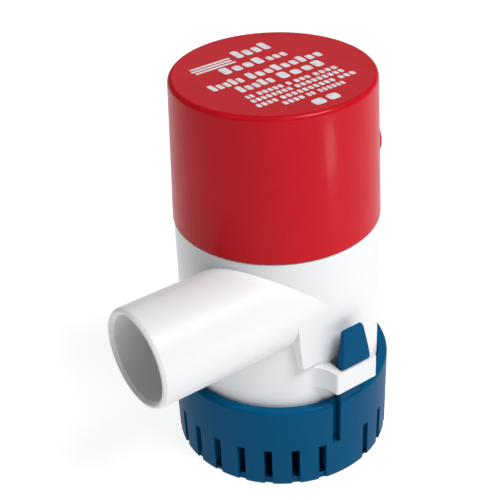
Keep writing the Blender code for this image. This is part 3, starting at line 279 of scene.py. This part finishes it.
def laminated():
    """Stack of stamped steel sheets 0.5 mm thick, with dark varnish between them."""
    s = Shade("lamination_steel")
    sheets = s.wave(100.0, "Z")
    stain = s.noise(300.0, 5.0, 0.6)
    edge = s.ramp(sheets, 0.05, 0.30)
    steel = s.blend(s.ramp(stain, 0.35, 0.65), (0.24, 0.24, 0.26), (0.17, 0.15, 0.14))
    s.set("Base Color", s.blend(edge, (0.035, 0.028, 0.024), steel))
    s.set("Roughness", s.ramp(stain, 0.3, 0.7, 0.40, 0.60))
    s.set("Normal", s.bump(sheets, 0.35, 0.0001))
    s.set("Metallic", 0.9)
    return s.material


def wound_copper():
    """Enamelled magnet wire laid side by side, with amber varnish pooled between the turns."""
    s = Shade("copper")
    turns = s.wave(130.0, "Z", 1.2)
    across = s.wave(115.0, "X", 2.0)
    lay = s.math("MULTIPLY", turns, across)
    varnish = s.noise(420.0, 4.0)
    wire = s.blend(s.ramp(varnish, 0.3, 0.7), (0.76, 0.30, 0.12), (0.60, 0.20, 0.07))
    s.set("Base Color", s.blend(s.ramp(lay, 0.02, 0.30), (0.16, 0.045, 0.018), wire))
    s.set("Roughness", s.ramp(varnish, 0.3, 0.7, 0.22, 0.38))
    s.set("Normal", s.bump(lay, 0.35, 0.00015))
    s.set("Metallic", 0.95)
    s.set("Coat Weight", 0.4)
    s.set("Coat Roughness", 0.2)
    return s.material


def gritty(name, colour, second, roughness, scale):
    """Pressed powder: fine grain with a few bright specks."""
    s = Shade(name)
    grains = s.voronoi(scale)
    patch = s.noise(240.0, 5.0, 0.65)
    s.set("Base Color", s.blend(s.math("MULTIPLY", s.ramp(grains, 0.15, 0.6), patch), colour, second))
    s.set("Roughness", s.ramp(patch, 0.3, 0.7, roughness - 0.08, roughness + 0.08))
    s.set("Normal", s.bump(grains, 0.20, 0.00006))
    return s.material


def rubber():
    """Moulded nitrile rubber with a dusty bloom and a fine matt grain."""
    s = Shade("black_rubber")
    bloom = s.noise(160.0, 6.0, 0.65)
    s.set("Base Color", s.blend(s.ramp(bloom, 0.40, 0.75), (0.014, 0.014, 0.015), (0.045, 0.044, 0.042)))
    s.set("Roughness", s.ramp(bloom, 0.3, 0.7, 0.62, 0.80))
    s.set("Normal", s.bump(s.noise(2400.0, 3.0), 0.18, 0.00006))
    return s.material


def circuit_board():
    """Green solder resist over copper tracks, with pale dots of tinned vias."""
    s = Shade("board_laminate")
    lanes = s.add("ShaderNodeTexBrick", offset=0.5, squash=1.0)
    lanes.inputs["Scale"].default_value = 1.0
    lanes.inputs["Mortar Size"].default_value = 0.18
    lanes.inputs["Brick Width"].default_value = 4.6
    lanes.inputs["Row Height"].default_value = 1.3
    s.link(s.stretched((1000.0, 1000.0, 1000.0)), lanes.inputs["Vector"])
    track = s.ramp(lanes.outputs["Fac"], 0.2, 0.8)
    tone = s.noise(140.0, 4.0)
    green = s.blend(s.ramp(tone, 0.3, 0.7), (0.008, 0.085, 0.030), (0.010, 0.110, 0.040))
    lit = s.blend(track, green, (0.030, 0.21, 0.075))
    dots = s.voronoi(210.0)
    s.set("Base Color", s.blend(s.ramp(dots, 0.10, 0.13), (0.55, 0.55, 0.52), lit))
    s.set("Roughness", s.ramp(tone, 0.3, 0.7, 0.24, 0.40))
    s.set("Normal", s.bump(track, 0.30, 0.00004))
    s.set("Coat Weight", 0.4)
    s.set("Coat Roughness", 0.15)
    return s.material


def sleeve():
    """Dark shrink sleeve of a capacitor with its pale polarity stripe."""
    s = Shade("capacitor_sleeve")
    spread = s.add("ShaderNodeSeparateXYZ")
    s.link(s.where, spread.inputs["Vector"])
    stripe = s.math("GREATER_THAN", spread.outputs["X"], -0.0062)
    tone = s.noise(220.0, 4.0)
    dark = s.blend(s.ramp(tone, 0.3, 0.7), (0.012, 0.020, 0.075), (0.018, 0.028, 0.095))
    s.set("Base Color", s.blend(stripe, dark, (0.42, 0.43, 0.45)))
    s.set("Roughness", s.ramp(tone, 0.3, 0.7, 0.28, 0.42))
    s.set("Normal", s.bump(s.noise(900.0, 3.0), 0.12, 0.00008))
    return s.material


def jacket(name, colour, second):
    """Soft wire insulation with faint extrusion lines."""
    s = Shade(name)
    lines = s.noise(1.0, 4.0, 0.6, s.stretched((1800.0, 1800.0, 120.0)))
    s.set("Base Color", s.blend(s.ramp(lines, 0.35, 0.65), colour, second))
    s.set("Roughness", s.ramp(s.noise(300.0, 4.0), 0.3, 0.7, 0.42, 0.58))
    s.set("Normal", s.bump(lines, 0.12, 0.00006))
    return s.material


MATERIALS = build_materials()


# ---------------------------------------------------------------- mesh helpers
def put(name, mesh, slot=None):
    """A piece with its material, or a bare working form when it has none."""
    made = bpy.data.objects.new(name, mesh)
    bpy.context.scene.collection.objects.link(made)
    if slot is not None:
        mesh.materials.append(MATERIALS[slot])
    return made


def soft_corners(points, steps=5, closed=False):
    """A profile with each (r, z, radius) corner rounded by that radius."""
    count = len(points)
    out = []
    for index, (r, z, radius) in enumerate(points):
        here = Vector((r, z))
        first = index == 0 and not closed
        last = index == count - 1 and not closed
        if radius <= 0 or first or last:
            out.append((r, z))
            continue
        before = Vector(points[index - 1][:2]) - here
        after = Vector(points[(index + 1) % count][:2]) - here
        half = before.angle(after) / 2
        reach = min(radius / math.tan(half), 0.49 * before.length, 0.49 * after.length)
        radius = reach * math.tan(half)
        centre = here + (before.normalized() + after.normalized()).normalized() * radius / math.sin(half)
        start = here + before.normalized() * reach - centre
        sweep = start.angle_signed(here + after.normalized() * reach - centre)
        for step in range(steps + 1):
            turn = Matrix.Rotation(-sweep * step / steps, 2)
            out.append(tuple(centre + turn @ start))
    return out


def stepped(profile, stride):
    """The profile with its long walls split, so shading near a join stays local."""
    out = [profile[0]]
    for start, end in zip(profile, profile[1:]):
        parts = 1
        if min(start[0], end[0]) > 1e-7:
            parts = max(1, math.ceil(math.dist(start, end) / stride))
        for part in range(1, parts + 1):
            share = part / parts
            out.append((start[0] + (end[0] - start[0]) * share, start[1] + (end[1] - start[1]) * share))
    return out


def lathe(name, points, steps, slot=None, closed=False, corner_steps=5, stride=2.5 * MM):
    """A solid turned about Z from a rounded profile that runs down its outer side."""
    profile = stepped(soft_corners(points, corner_steps, closed), stride)
    shape = bmesh.new()
    rings = []
    for r, z in profile:
        if r < 1e-7:
            rings.append([shape.verts.new((0.0, 0.0, z))])
        else:
            rings.append([shape.verts.new((r * math.cos(a), r * math.sin(a), z)) for a in
                          (2 * math.pi * step / steps for step in range(steps))])
    pairs = list(zip(rings, rings[1:]))
    if closed:
        pairs.append((rings[-1], rings[0]))
    for upper, lower in pairs:
        for step in range(steps):
            after = (step + 1) % steps
            if len(upper) == 1 and len(lower) == 1:
                continue
            if len(upper) == 1:
                shape.faces.new((upper[0], lower[step], lower[after]))
            elif len(lower) == 1:
                shape.faces.new((upper[step], lower[0], upper[after]))
            else:
                shape.faces.new((upper[step], lower[step], lower[after], upper[after]))
    mesh = bpy.data.meshes.new(name)
    shape.to_mesh(mesh)
    shape.free()
    return put(name, mesh, slot)


def slab(name, outline, thickness, place):
    """A closed plate from an outline that runs counterclockwise, centred on its own plane."""
    shape = bmesh.new()
    low = [shape.verts.new((x, y, -thickness / 2)) for x, y in outline]
    high = [shape.verts.new((x, y, thickness / 2)) for x, y in outline]
    shape.faces.new(high)
    shape.faces.new(low[::-1])
    count = len(outline)
    for index in range(count):
        after = (index + 1) % count
        shape.faces.new((low[index], low[after], high[after], high[index]))
    bmesh.ops.transform(shape, matrix=place, verts=shape.verts)
    if place.determinant() < 0:
        bmesh.ops.reverse_faces(shape, faces=shape.faces)
    mesh = bpy.data.meshes.new(name)
    shape.to_mesh(mesh)
    shape.free()
    return put(name, mesh)


def block(name, low, high, turn=0.0):
    """A box between two corners, turned about Z."""
    middle = [(a + b) / 2 for a, b in zip(low, high)]
    outline = [(low[0], low[1]), (high[0], low[1]), (high[0], high[1]), (low[0], high[1])]
    place = Matrix.Rotation(turn, 4, "Z") @ Matrix.Translation((0, 0, middle[2]))
    return slab(name, outline, high[2] - low[2], place)


def settle(made):
    """Makes the object's modifiers and place part of its mesh."""
    bpy.context.view_layer.update()
    graph = bpy.context.evaluated_depsgraph_get()
    mesh = bpy.data.meshes.new_from_object(made.evaluated_get(graph))
    mesh.transform(made.matrix_world)
    made.modifiers.clear()
    old = made.data
    mesh.name = old.name
    made.data = mesh
    made.matrix_world = Matrix.Identity(4)
    bpy.data.meshes.remove(old)
    return made


def boolean(target, operation, tool):
    """Cuts or adds the tool at once and removes it."""
    step = target.modifiers.new("step", "BOOLEAN")
    step.operation = operation
    step.solver = "EXACT"
    step.object = tool
    settle(target)
    bpy.data.objects.remove(tool, do_unlink=True)
    return target


def together(name, pieces):
    """One working form from several separate ones."""
    shape = bmesh.new()
    for piece in pieces:
        shape.from_mesh(piece.data)
        bpy.data.objects.remove(piece, do_unlink=True)
    mesh = bpy.data.meshes.new(name)
    shape.to_mesh(mesh)
    shape.free()
    return put(name, mesh)


def chamfer(made, width, steps=3, angle=40.0):
    """Rounds the sharp edges by width."""
    step = made.modifiers.new("edges", "BEVEL")
    step.width = width
    step.segments = steps
    step.limit_method = "ANGLE"
    step.angle_limit = math.radians(angle)
    step.harden_normals = False
    return settle(made)


def finish_shading(made, angle=30.0):
    """Smooth shading with sharp edges beyond the angle, in degrees."""
    mesh = made.data
    mesh.shade_smooth()
    mesh.set_sharp_from_angle(angle=math.radians(angle))
    step = made.modifiers.new("weighted", "WEIGHTED_NORMAL")
    step.keep_sharp = True
    step.weight = 50


def polar(radius, angle):
    """Plane coordinates of a point at this radius and angle."""
    return (radius * math.cos(angle), radius * math.sin(angle))


def half_turn():
    """Brings a front piece to the rear."""
    return Matrix.Rotation(math.pi, 4, "Z")


# ---------------------------------------------------------------- dimensions shared with the frame
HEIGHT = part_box("motor_cap")[1].z
CAP_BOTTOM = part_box("motor_cap")[0].z
CAP_R_TOP = 28.3 * MM
CAP_R_BOTTOM = 29.8 * MM
CAP_WALL = 2.2 * MM
SPIGOT_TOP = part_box("pump_housing")[1].z
GLAND_Z = 94.8 * MM
GLAND_ANGLE = math.radians(-20.3)
GLAND_BOSS_R = 4.2 * MM
GLAND_BOSS_END = 30.4 * MM
RING_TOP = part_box("strainer_base")[1].z
RING_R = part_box("strainer_base")[1].x
LEDGE_Z = 14.0 * MM
BODY_R_LOW = 29.8 * MM
LATCH_X = 0.6 * MM
LOOP_TOP = 41.1 * MM
LOOP_BOTTOM = 33.9 * MM
OUTLET_Y = -14.8 * MM
OUTLET_Z = 59.6 * MM
OUTLET_END = -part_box("pump_housing")[0].x
HOSE_R = 14.4 * MM
OUTLET_BORE_R = 12.3 * MM
FINE = 240                         # steps round the body, cap and strainer
MEDIUM = 160                       # round the outlet tube
SMALL = 64                         # round the gland and its boss


# ---------------------------------------------------------------- cap
def build_cap():
    """Red cover with its rounded top edge, cable boss and softened lower lip."""
    top = HEIGHT - 0.04 * MM
    inner_top = HEIGHT - CAP_WALL
    cap = lathe("cap_shell", [
        (0.0, top, 0), (CAP_R_TOP, top, 1.5 * MM), (CAP_R_BOTTOM, CAP_BOTTOM, 0.25 * MM),
        (CAP_R_BOTTOM - CAP_WALL, CAP_BOTTOM, 0.3 * MM), (CAP_R_BOTTOM - CAP_WALL, SPIGOT_TOP, 0.2 * MM),
        (CAP_R_TOP - CAP_WALL, inner_top, 1.0 * MM), (0.0, inner_top, 0),
    ], FINE, "red_plastic", corner_steps=10)
    aim = Matrix.Rotation(GLAND_ANGLE, 4, "Z") @ Matrix.Translation((0, 0, GLAND_Z)) \
        @ Matrix.Rotation(math.pi / 2, 4, "Y")
    boss = lathe("boss", [
        (0.0, GLAND_BOSS_END, 0), (GLAND_BOSS_R, GLAND_BOSS_END, 0.6 * MM),
        (GLAND_BOSS_R, 27.1 * MM, 0), (0.0, 27.1 * MM, 0),
    ], SMALL)
    hole = lathe("hole", [(0.0, 36 * MM, 0), (3.5 * MM, 36 * MM, 0), (3.5 * MM, 20 * MM, 0),
                          (0.0, 20 * MM, 0)], SMALL)
    for piece in (boss, hole):
        piece.matrix_world = aim
        settle(piece)
    boolean(cap, "UNION", boss)
    boolean(cap, "DIFFERENCE", hole)
    finish_shading(cap)
    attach(cap, "pump_body")
    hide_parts("motor_cap")

    gland = lathe("gland_grommet", [
        (1.7 * MM, 29.9 * MM, 0), (2.3 * MM, 30.2 * MM, 0.2 * MM), (3.2 * MM, 30.2 * MM, 0.3 * MM),
        (3.2 * MM, 25.8 * MM, 0), (4.6 * MM, 25.8 * MM, 0.2 * MM), (4.6 * MM, 24.4 * MM, 0.3 * MM),
        (1.7 * MM, 24.4 * MM, 0.2 * MM),
    ], SMALL, "black_rubber", closed=True)
    gland.matrix_world = aim
    settle(gland)
    finish_shading(gland)
    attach(gland, "pump_body")
    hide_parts("cable_gland")


# Each row: middle, block height, then (start, end, blocks) of each run, all in mm.
PRINT_ROWS = (
    (15.2, 5.0, ((-2.0, 9.4, 4),)),
    (14.5, 0.9, ((-17.0, -3.9, 1),)), (13.0, 0.9, ((-17.4, -4.3, 1),)), (11.5, 0.9, ((-17.0, -3.9, 1),)),
    (8.2, 4.2, ((-11.0, 2.3, 4),)), (7.2, 2.6, ((3.6, 9.9, 3),)),
    (1.3, 3.9, ((-19.4, -9.4, 5), (-7.4, 17.1, 9))),
    (-3.9, 3.9, ((-14.2, -3.2, 5), (-0.9, 13.5, 4))),
    (-9.0, 1.9, ((-15.3, -13.0, 2), (-11.6, -3.6, 5), (-2.2, -0.9, 1), (0.4, 5.4, 3), (6.8, 14.5, 4))),
    (-11.8, 1.9, ((-15.6, -2.8, 8), (-1.4, 14.5, 9))),
    (-14.8, 1.9, ((-16.1, -9.8, 4), (-8.4, 9.0, 10), (10.6, 16.0, 3))),
    (-17.8, 1.9, ((-10.0, -3.6, 4), (-2.4, 0.0, 2), (1.4, 9.9, 6))),
    (-22.6, 3.2, ((-4.2, -0.6, 1), (0.6, 4.0, 1))),
)


def rounded_box(left, right, low, high):
    """Outline of a rectangle with rounded corners, counterclockwise."""
    radius = 0.3 * min(right - left, high - low)
    corner_steps = 4
    outline = []
    for cx, cy, first in ((right - radius, low + radius, -90), (right - radius, high - radius, 0),
                          (left + radius, high - radius, 90), (left + radius, low + radius, 180)):
        for step in range(corner_steps + 1):
            x, y = polar(radius, math.radians(first + 90 * step / corner_steps))
            outline.append(((cx + x) * MM, (cy + y) * MM))
    return outline


def build_print():
    """White printed panel on the cap's top: rows of plain blocks and no lettering."""
    thickness = 0.08 * MM
    gap_share = 0.30                 # of a block's pitch
    low_share = 0.74                 # height of the lower blocks in a row of tall ones
    shape = bmesh.new()
    outlines = []
    for middle, height, runs in PRINT_ROWS:
        for start, end, count in runs:
            gap = 0.0 if count == 1 else gap_share * (end - start) / count
            pitch = (end - start + gap) / count
            for index in range(count):
                left = start + pitch * index
                low = middle - height / 2
                tall = height if height < 3 or count == 1 or index % 3 == 0 else low_share * height
                outlines.append(rounded_box(left, left + pitch - gap, low, low + tall))
    for outline in outlines:
        low = [shape.verts.new((x, y, HEIGHT - thickness)) for x, y in outline]
        high = [shape.verts.new((x, y, HEIGHT)) for x, y in outline]
        shape.faces.new(high)
        shape.faces.new(low[::-1])
        for index in range(len(outline)):
            after = (index + 1) % len(outline)
            shape.faces.new((low[index], low[after], high[after], high[index]))
    mesh = bpy.data.meshes.new("cap_print")
    shape.to_mesh(mesh)
    shape.free()
    made = put("cap_print", mesh)
    s = Shade("print_ink")
    wear = s.noise(700.0, 4.0, 0.6)
    s.set("Base Color", s.blend(s.ramp(wear, 0.30, 0.62), (0.66, 0.60, 0.62), (0.84, 0.84, 0.86)))
    s.set("Roughness", s.ramp(wear, 0.3, 0.7, 0.38, 0.52))
    s.set("Normal", s.bump(wear, 0.08, 0.00004))
    mesh.materials.append(s.material)
    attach(made, "pump_body")


# ---------------------------------------------------------------- housing
def loop_side(side):
    """Outline of one arm of the loop, from the body to the front corner."""
    half = 7.4 * MM
    arm = 2.5 * MM
    front = 35.7 * MM
    flare = 7.5 * MM
    root_y = 25.5 * MM
    corner = 0.8 * MM
    corner_steps = 5
    bite = 0.07 * MM                 # the fillet runs this far into the body
    steps = 20
    edge = LATCH_X + side * half
    centre_x = edge + side * flare
    centre_y = -math.sqrt((BODY_R_LOW - bite + flare) ** 2 - centre_x ** 2)
    sweep = math.atan2(-centre_y, abs(centre_x))
    outline = [(edge - side * arm, -root_y)]
    for step in range(steps + 1):
        x, y = polar(flare, sweep * (1 - step / steps))
        outline.append((centre_x - side * x, centre_y + y))
    outline.insert(1, (outline[1][0], -root_y))
    for step in range(corner_steps + 1):
        x, y = polar(corner, math.pi / 2 * step / corner_steps)
        outline.append((edge - side * (corner - x), -(front - corner) - y))
    return outline


def loop_form():
    """The latch loop with its flared arms and softened edges."""
    inner = 4.9 * MM
    back = -34.2 * MM
    opening = [(LATCH_X - inner, back), (LATCH_X + inner, back)]
    outline = (loop_side(1) + loop_side(-1)[::-1] + opening)[::-1]
    place = Matrix.Translation((0, 0, (LOOP_TOP + LOOP_BOTTOM) / 2))
    form = slab("loop", outline, LOOP_TOP - LOOP_BOTTOM, place)
    return chamfer(form, 0.28 * MM, 3, 50.0)


def web_form():
    """Flat panel under the outlet tube, with a slanted end."""
    face_y = -29.15 * MM
    thickness = 9 * MM
    bottom = 42.5 * MM
    outline = [(0.0, bottom), (0.0, OUTLET_Z), (-15.3 * MM, OUTLET_Z), (-14.6 * MM, 50.0 * MM),
               (-13.7 * MM, bottom)]
    place = Matrix.Translation((0, face_y + thickness / 2, 0)) @ Matrix.Rotation(math.pi / 2, 4, "X")
    form = slab("web", outline[::-1], thickness, place)
    return chamfer(form, 0.2 * MM, 3)


def build_housing():
    """White body with the outlet tube, the web and both loops, hollow as in the frame."""
    shoulder = CAP_BOTTOM - 0.3 * MM
    spigot_r = 27.2 * MM
    groove_r = 25.6 * MM
    seal_z = 80.5 * MM
    seal_half = 0.95 * MM
    housing = lathe("housing_shell", [
        (0.0, SPIGOT_TOP, 0), (spigot_r, SPIGOT_TOP, 0.4 * MM), (spigot_r, seal_z + seal_half, 0.1 * MM),
        (groove_r, seal_z + seal_half, 0.1 * MM), (groove_r, seal_z - seal_half, 0.1 * MM),
        (spigot_r, seal_z - seal_half, 0.1 * MM), (spigot_r, shoulder, 0.15 * MM),
        (29.5 * MM, shoulder, 0.3 * MM), (BODY_R_LOW, RING_TOP, 0), (BODY_R_LOW, 14.3 * MM, 0.3 * MM),
        (0.0, 14.3 * MM, 0),
    ], FINE, "white_plastic", corner_steps=4)
    aim = Matrix.Translation((0, OUTLET_Y, OUTLET_Z)) @ Matrix.Rotation(-math.pi / 2, 4, "Y")
    tube = lathe("tube", [
        (0.0, OUTLET_END, 0), (HOSE_R - 0.55 * MM, OUTLET_END, 0.35 * MM),
        (HOSE_R, OUTLET_END - 0.9 * MM, 0.8 * MM), (HOSE_R, 0.0, 0), (0.0, 0.0, 0),
    ], MEDIUM, corner_steps=6)
    bore = lathe("bore", [
        (0.0, OUTLET_END + 1 * MM, 0), (OUTLET_BORE_R + 0.9 * MM, OUTLET_END + 1 * MM, 0),
        (OUTLET_BORE_R + 0.9 * MM, OUTLET_END - 0.05 * MM, 0.3 * MM),
        (OUTLET_BORE_R, OUTLET_END - 1.0 * MM, 0.8 * MM), (OUTLET_BORE_R, 1 * MM, 0), (0.0, 1 * MM, 0),
    ], MEDIUM, corner_steps=5)
    for piece in (tube, bore):
        piece.matrix_world = aim
        settle(piece)
    well = lathe("well", [
        (0.0, 86 * MM, 0), (24.6 * MM, 86 * MM, 0), (24.6 * MM, 74 * MM, 0.2 * MM),
        (22.0 * MM, 74 * MM, 0), (22.0 * MM, 72.4 * MM, 0.4 * MM), (27.3 * MM, 70 * MM, 0.8 * MM),
        (27.3 * MM, 17.3 * MM, 0), (28.0 * MM, 17.3 * MM, 0), (28.0 * MM, 12 * MM, 0), (0.0, 12 * MM, 0),
    ], FINE, corner_steps=3)
    rear = loop_form()
    rear.matrix_world = half_turn()
    settle(rear)
    for tool in (tube, web_form(), loop_form(), rear):
        boolean(housing, "UNION", tool)
    for tool in (well, bore):
        boolean(housing, "DIFFERENCE", tool)
    finish_shading(housing, 18.0)
    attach(housing, "pump_body")
    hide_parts("pump_housing")


# ---------------------------------------------------------------- strainer
def build_strainer():
    """Blue slotted base with a rounded rim, softened slots and its moulded floor."""
    base = lathe("strainer_shell", [
        (0.0, 2.5 * MM, 0), (29.0 * MM, 2.5 * MM, 0.8 * MM), (29.0 * MM, LEDGE_Z, 0.2 * MM),
        (30.15 * MM, LEDGE_Z, 0.2 * MM), (30.15 * MM, RING_TOP, 0.35 * MM), (RING_R, RING_TOP, 1.6 * MM),
        (32.8 * MM, 0.0, 0.7 * MM), (0.0, 0.0, 0),
    ], FINE, "blue_plastic", corner_steps=6)
    positions = 25
    pitch = 2 * math.pi / positions
    width = 2.4 * MM
    reach = 36 * MM                  # the cutters end outside the ring
    slot_top = 13.3 * MM
    sill = 2.3 * MM                  # inside the ring the slots end on the floor
    foot_r = 31.9 * MM               # below the sill they only nick the ring from here outwards
    first = math.radians(13.2)
    clear = math.radians(10)         # no slots this close to the tabs' axis
    cuts = []
    feet = []
    for index in range(positions):
        angle = first + pitch * index
        if abs(math.sin(angle)) < math.sin(clear):
            continue
        cuts.append(block("slot", (-width / 2, -reach, sill), (width / 2, -26 * MM, slot_top), angle))
        feet.append(block("foot", (-width / 2, -reach, -2 * MM), (width / 2, -foot_r, sill + 1 * MM), angle))
    notch_half = 1.3 * MM
    notch_back = 30.7 * MM
    notch_bottom = 12.8 * MM
    notch_angle = math.radians(7.6)
    for half in (0.0, math.pi):
        cuts.append(block("notch", (-notch_half, -reach, notch_bottom),
                          (notch_half, -notch_back, RING_TOP + 2 * MM), half - notch_angle))
    hole_x = 17 * MM
    hole_r = 2.2 * MM
    for side in (-1, 1):
        hole = lathe("floor_hole", [(0.0, 6 * MM, 0), (hole_r, 6 * MM, 0), (hole_r, -2 * MM, 0),
                                    (0.0, -2 * MM, 0)], 48)
        hole.matrix_world = Matrix.Translation((side * hole_x, 0, 0))
        cuts.append(settle(hole))
    boolean(base, "DIFFERENCE", together("cuts", cuts))
    boolean(base, "DIFFERENCE", together("feet", feet))
    chamfer(base, 0.14 * MM, 2, 55.0)
    finish_shading(base, 32.0)
    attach(base, "pump_body")
    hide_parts("strainer_base")


def build_tab(name, node, body, rear):
    """Latch tongue: a shield-shaped head with soft edges on a narrower stem."""
    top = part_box(node)[1].z
    hook = LOOP_TOP + 0.3 * MM
    inner = 31.1 * MM
    stem_outer = 32.9 * MM
    wide = 5.1 * MM
    crown = 3.6 * MM
    foot = 0.5 * MM
    corner = 1.0 * MM
    corner_steps = 5
    lean = 4                         # degrees that the head's sides lean inwards
    front = [(-wide + foot, hook - foot), (wide - foot, hook - foot), (wide, hook + foot)]
    for step in range(corner_steps + 1):
        x, y = polar(corner, math.radians(lean + (90 - lean) * step / corner_steps))
        front.append((crown - corner + x + 0.1 * MM, top - corner + y))
    front += [(-x, z) for x, z in reversed(front[3:])]
    front.append((-wide, hook + foot))
    side = [
        (stem_outer, hook), (35.2 * MM, hook), (35.25 * MM, hook + 1.5 * MM), (35.15 * MM, hook + 3 * MM),
        (34.9 * MM, hook + 5 * MM), (34.55 * MM, hook + 7 * MM), (34.2 * MM, top - 3 * MM),
        (33.9 * MM, top - 1.6 * MM), (33.6 * MM, top - 0.6 * MM), (33.3 * MM, top + 0.3 * MM),
        (32.8 * MM, top + 0.3 * MM), (32.5 * MM, top - 0.8 * MM), (32.9 * MM, hook + 5 * MM),
    ]
    stem = [
        (inner, RING_TOP + 0.3 * MM), (stem_outer, RING_TOP + 0.3 * MM), (stem_outer, hook - 1 * MM),
        (33.6 * MM, hook + 1 * MM), (33.7 * MM, top - 4 * MM), (32.5 * MM, top - 3.5 * MM),
        (inner + 0.2 * MM, hook + 1.5 * MM), (inner, hook - 1 * MM),
    ]
    upright = Matrix.Translation((LATCH_X, -33.15 * MM, 0)) @ Matrix.Rotation(math.pi / 2, 4, "X")
    sideways = Matrix.Translation((LATCH_X, 0, 0)) \
        @ Matrix(((0, 0, -1, 0), (-1, 0, 0, 0), (0, 1, 0, 0), (0, 0, 0, 1)))
    head = slab(name, front, 10 * MM, upright)
    boolean(head, "INTERSECT", slab("side", side, 16 * MM, sideways))
    chamfer(head, 0.38 * MM, 4, 35.0)
    neck = slab("neck", stem, 7.6 * MM, sideways)
    chamfer(neck, 0.2 * MM, 2, 50.0)
    boolean(head, "UNION", neck)
    head.data.materials.clear()
    head.data.materials.append(MATERIALS["blue_plastic"])
    if rear:
        head.matrix_world = half_turn()
        settle(head)
    finish_shading(head, 32.0)
    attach(head, body)
    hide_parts(node)


# ---------------------------------------------------------------- brush springs
def build_spring(label, side):
    """Round wire coil of fixed length in the place of the brush spring."""
    node = "brush_spring_" + label
    low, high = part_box(node)
    wire_r = 0.2 * MM
    coil_r = 1.15 * MM
    turns = 4
    per_turn = 28
    around = 10
    inner = min(abs(low.x), abs(high.x))
    outer = max(abs(low.x), abs(high.x))
    middle_z = (low.z + high.z) / 2
    shape = bmesh.new()
    rings = []
    for step in range(turns * per_turn + 1):
        share = step / (turns * per_turn)
        y, z = polar(1.0, 2 * math.pi * turns * share)
        centre = Vector((inner + wire_r + (outer - inner - 2 * wire_r) * share, y * coil_r, z * coil_r))
        outward = Vector((0, y, z))
        rings.append([])
        for corner in range(around):
            along, across = polar(wire_r, 2 * math.pi * corner / around)
            point = centre + Vector((along, 0, 0)) + outward * across
            rings[-1].append(shape.verts.new((side * point.x, point.y, middle_z + point.z)))
    for first, second in zip(rings, rings[1:]):
        for corner in range(around):
            after = (corner + 1) % around
            shape.faces.new((first[corner], first[after], second[after], second[corner]))
    shape.faces.new(rings[0][::-1])
    shape.faces.new(rings[-1])
    bmesh.ops.recalc_face_normals(shape, faces=shape.faces)
    mesh = bpy.data.meshes.new("spring_coil_" + label)
    shape.to_mesh(mesh)
    shape.free()
    made = put("spring_coil_" + label, mesh, "stainless_steel")
    mesh.shade_smooth()
    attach(made, "pump_body")
    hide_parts(node)
    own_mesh(made)


# ---------------------------------------------------------------- carried-over pieces
def dress_nodes():
    """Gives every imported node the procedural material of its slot."""
    slots = {row["node"]: row["material_slot"] for row in frame["record"]["subparts"]}
    for name, node in NODES.items():
        node.data.materials.clear()
        node.data.materials.append(MATERIALS[slots[name]])


# ---------------------------------------------------------------- stage
def build_floor():
    """Pale floor that glows a little, so that its shadows stay faint."""
    s = Shade("floor")
    cloud = s.noise(6.0, 4.0)
    s.set("Base Color", s.blend(s.ramp(cloud, 0.3, 0.7), (0.34, 0.34, 0.34), (0.37, 0.37, 0.37)))
    s.set("Emission Color", (1.0, 1.0, 1.0))
    s.set("Emission Strength", 0.85)
    s.set("Roughness", s.ramp(s.noise(220.0, 4.0), 0.3, 0.7, 0.70, 0.80))
    s.set("Specular IOR Level", 0.2)
    bpy.ops.mesh.primitive_plane_add(size=8.0, location=(0, 0, -0.0001))
    floor = bpy.context.object
    floor.name = "floor"
    floor.data.materials.append(s.material)


def soft_light(name, place, aim, size, power):
    """A rectangular lamp that shines from place towards aim."""
    data = bpy.data.lights.new(name, "AREA")
    data.shape = "RECTANGLE"
    data.size, data.size_y = size
    data.energy = power
    lamp = bpy.data.objects.new(name, data)
    bpy.context.scene.collection.objects.link(lamp)
    lamp.location = place
    lamp.rotation_euler = (Vector(aim) - Vector(place)).to_track_quat("-Z", "Y").to_euler()


def build_light():
    """Dim pale surroundings, a large key light, and small lights for the rim, gloss and back."""
    world = bpy.data.worlds.new("studio")
    bpy.context.scene.world = world
    world.use_nodes = True
    back = world.node_tree.nodes["Background"]
    back.inputs["Color"].default_value = (0.93, 0.96, 1.0, 1.0)
    back.inputs["Strength"].default_value = 0.11
    middle = (0.0, 0.0, 0.06)
    soft_light("key", from_camera_side(1.60, 1.00, 2.75), middle, (1.40, 1.40), 101.0)
    soft_light("rim", from_camera_side(-1.60, 1.20, 2.40), middle, (0.60, 0.60), 4.0)
    glint = from_camera_side(0.220, 0.138, 0.003)
    soft_light("glint", glint, glint + Vector((0, 0, 1)), (0.05, 0.05), 0.09)
    soft_light("back", from_camera_side(0.20, -2.20, 1.50), middle, (2.00, 1.00), 4.5)


build_camera()
build_floor()
build_light()
dress_nodes()
build_cap()
build_print()
build_housing()
build_strainer()
build_tab("latch_head_front", "latch_tab_front", "latch_front", False)
build_tab("latch_head_rear", "latch_tab_rear", "latch_rear", True)
build_spring("left", -1)
build_spring("right", 1)
bpy.context.scene.view_settings.view_transform = "Standard"
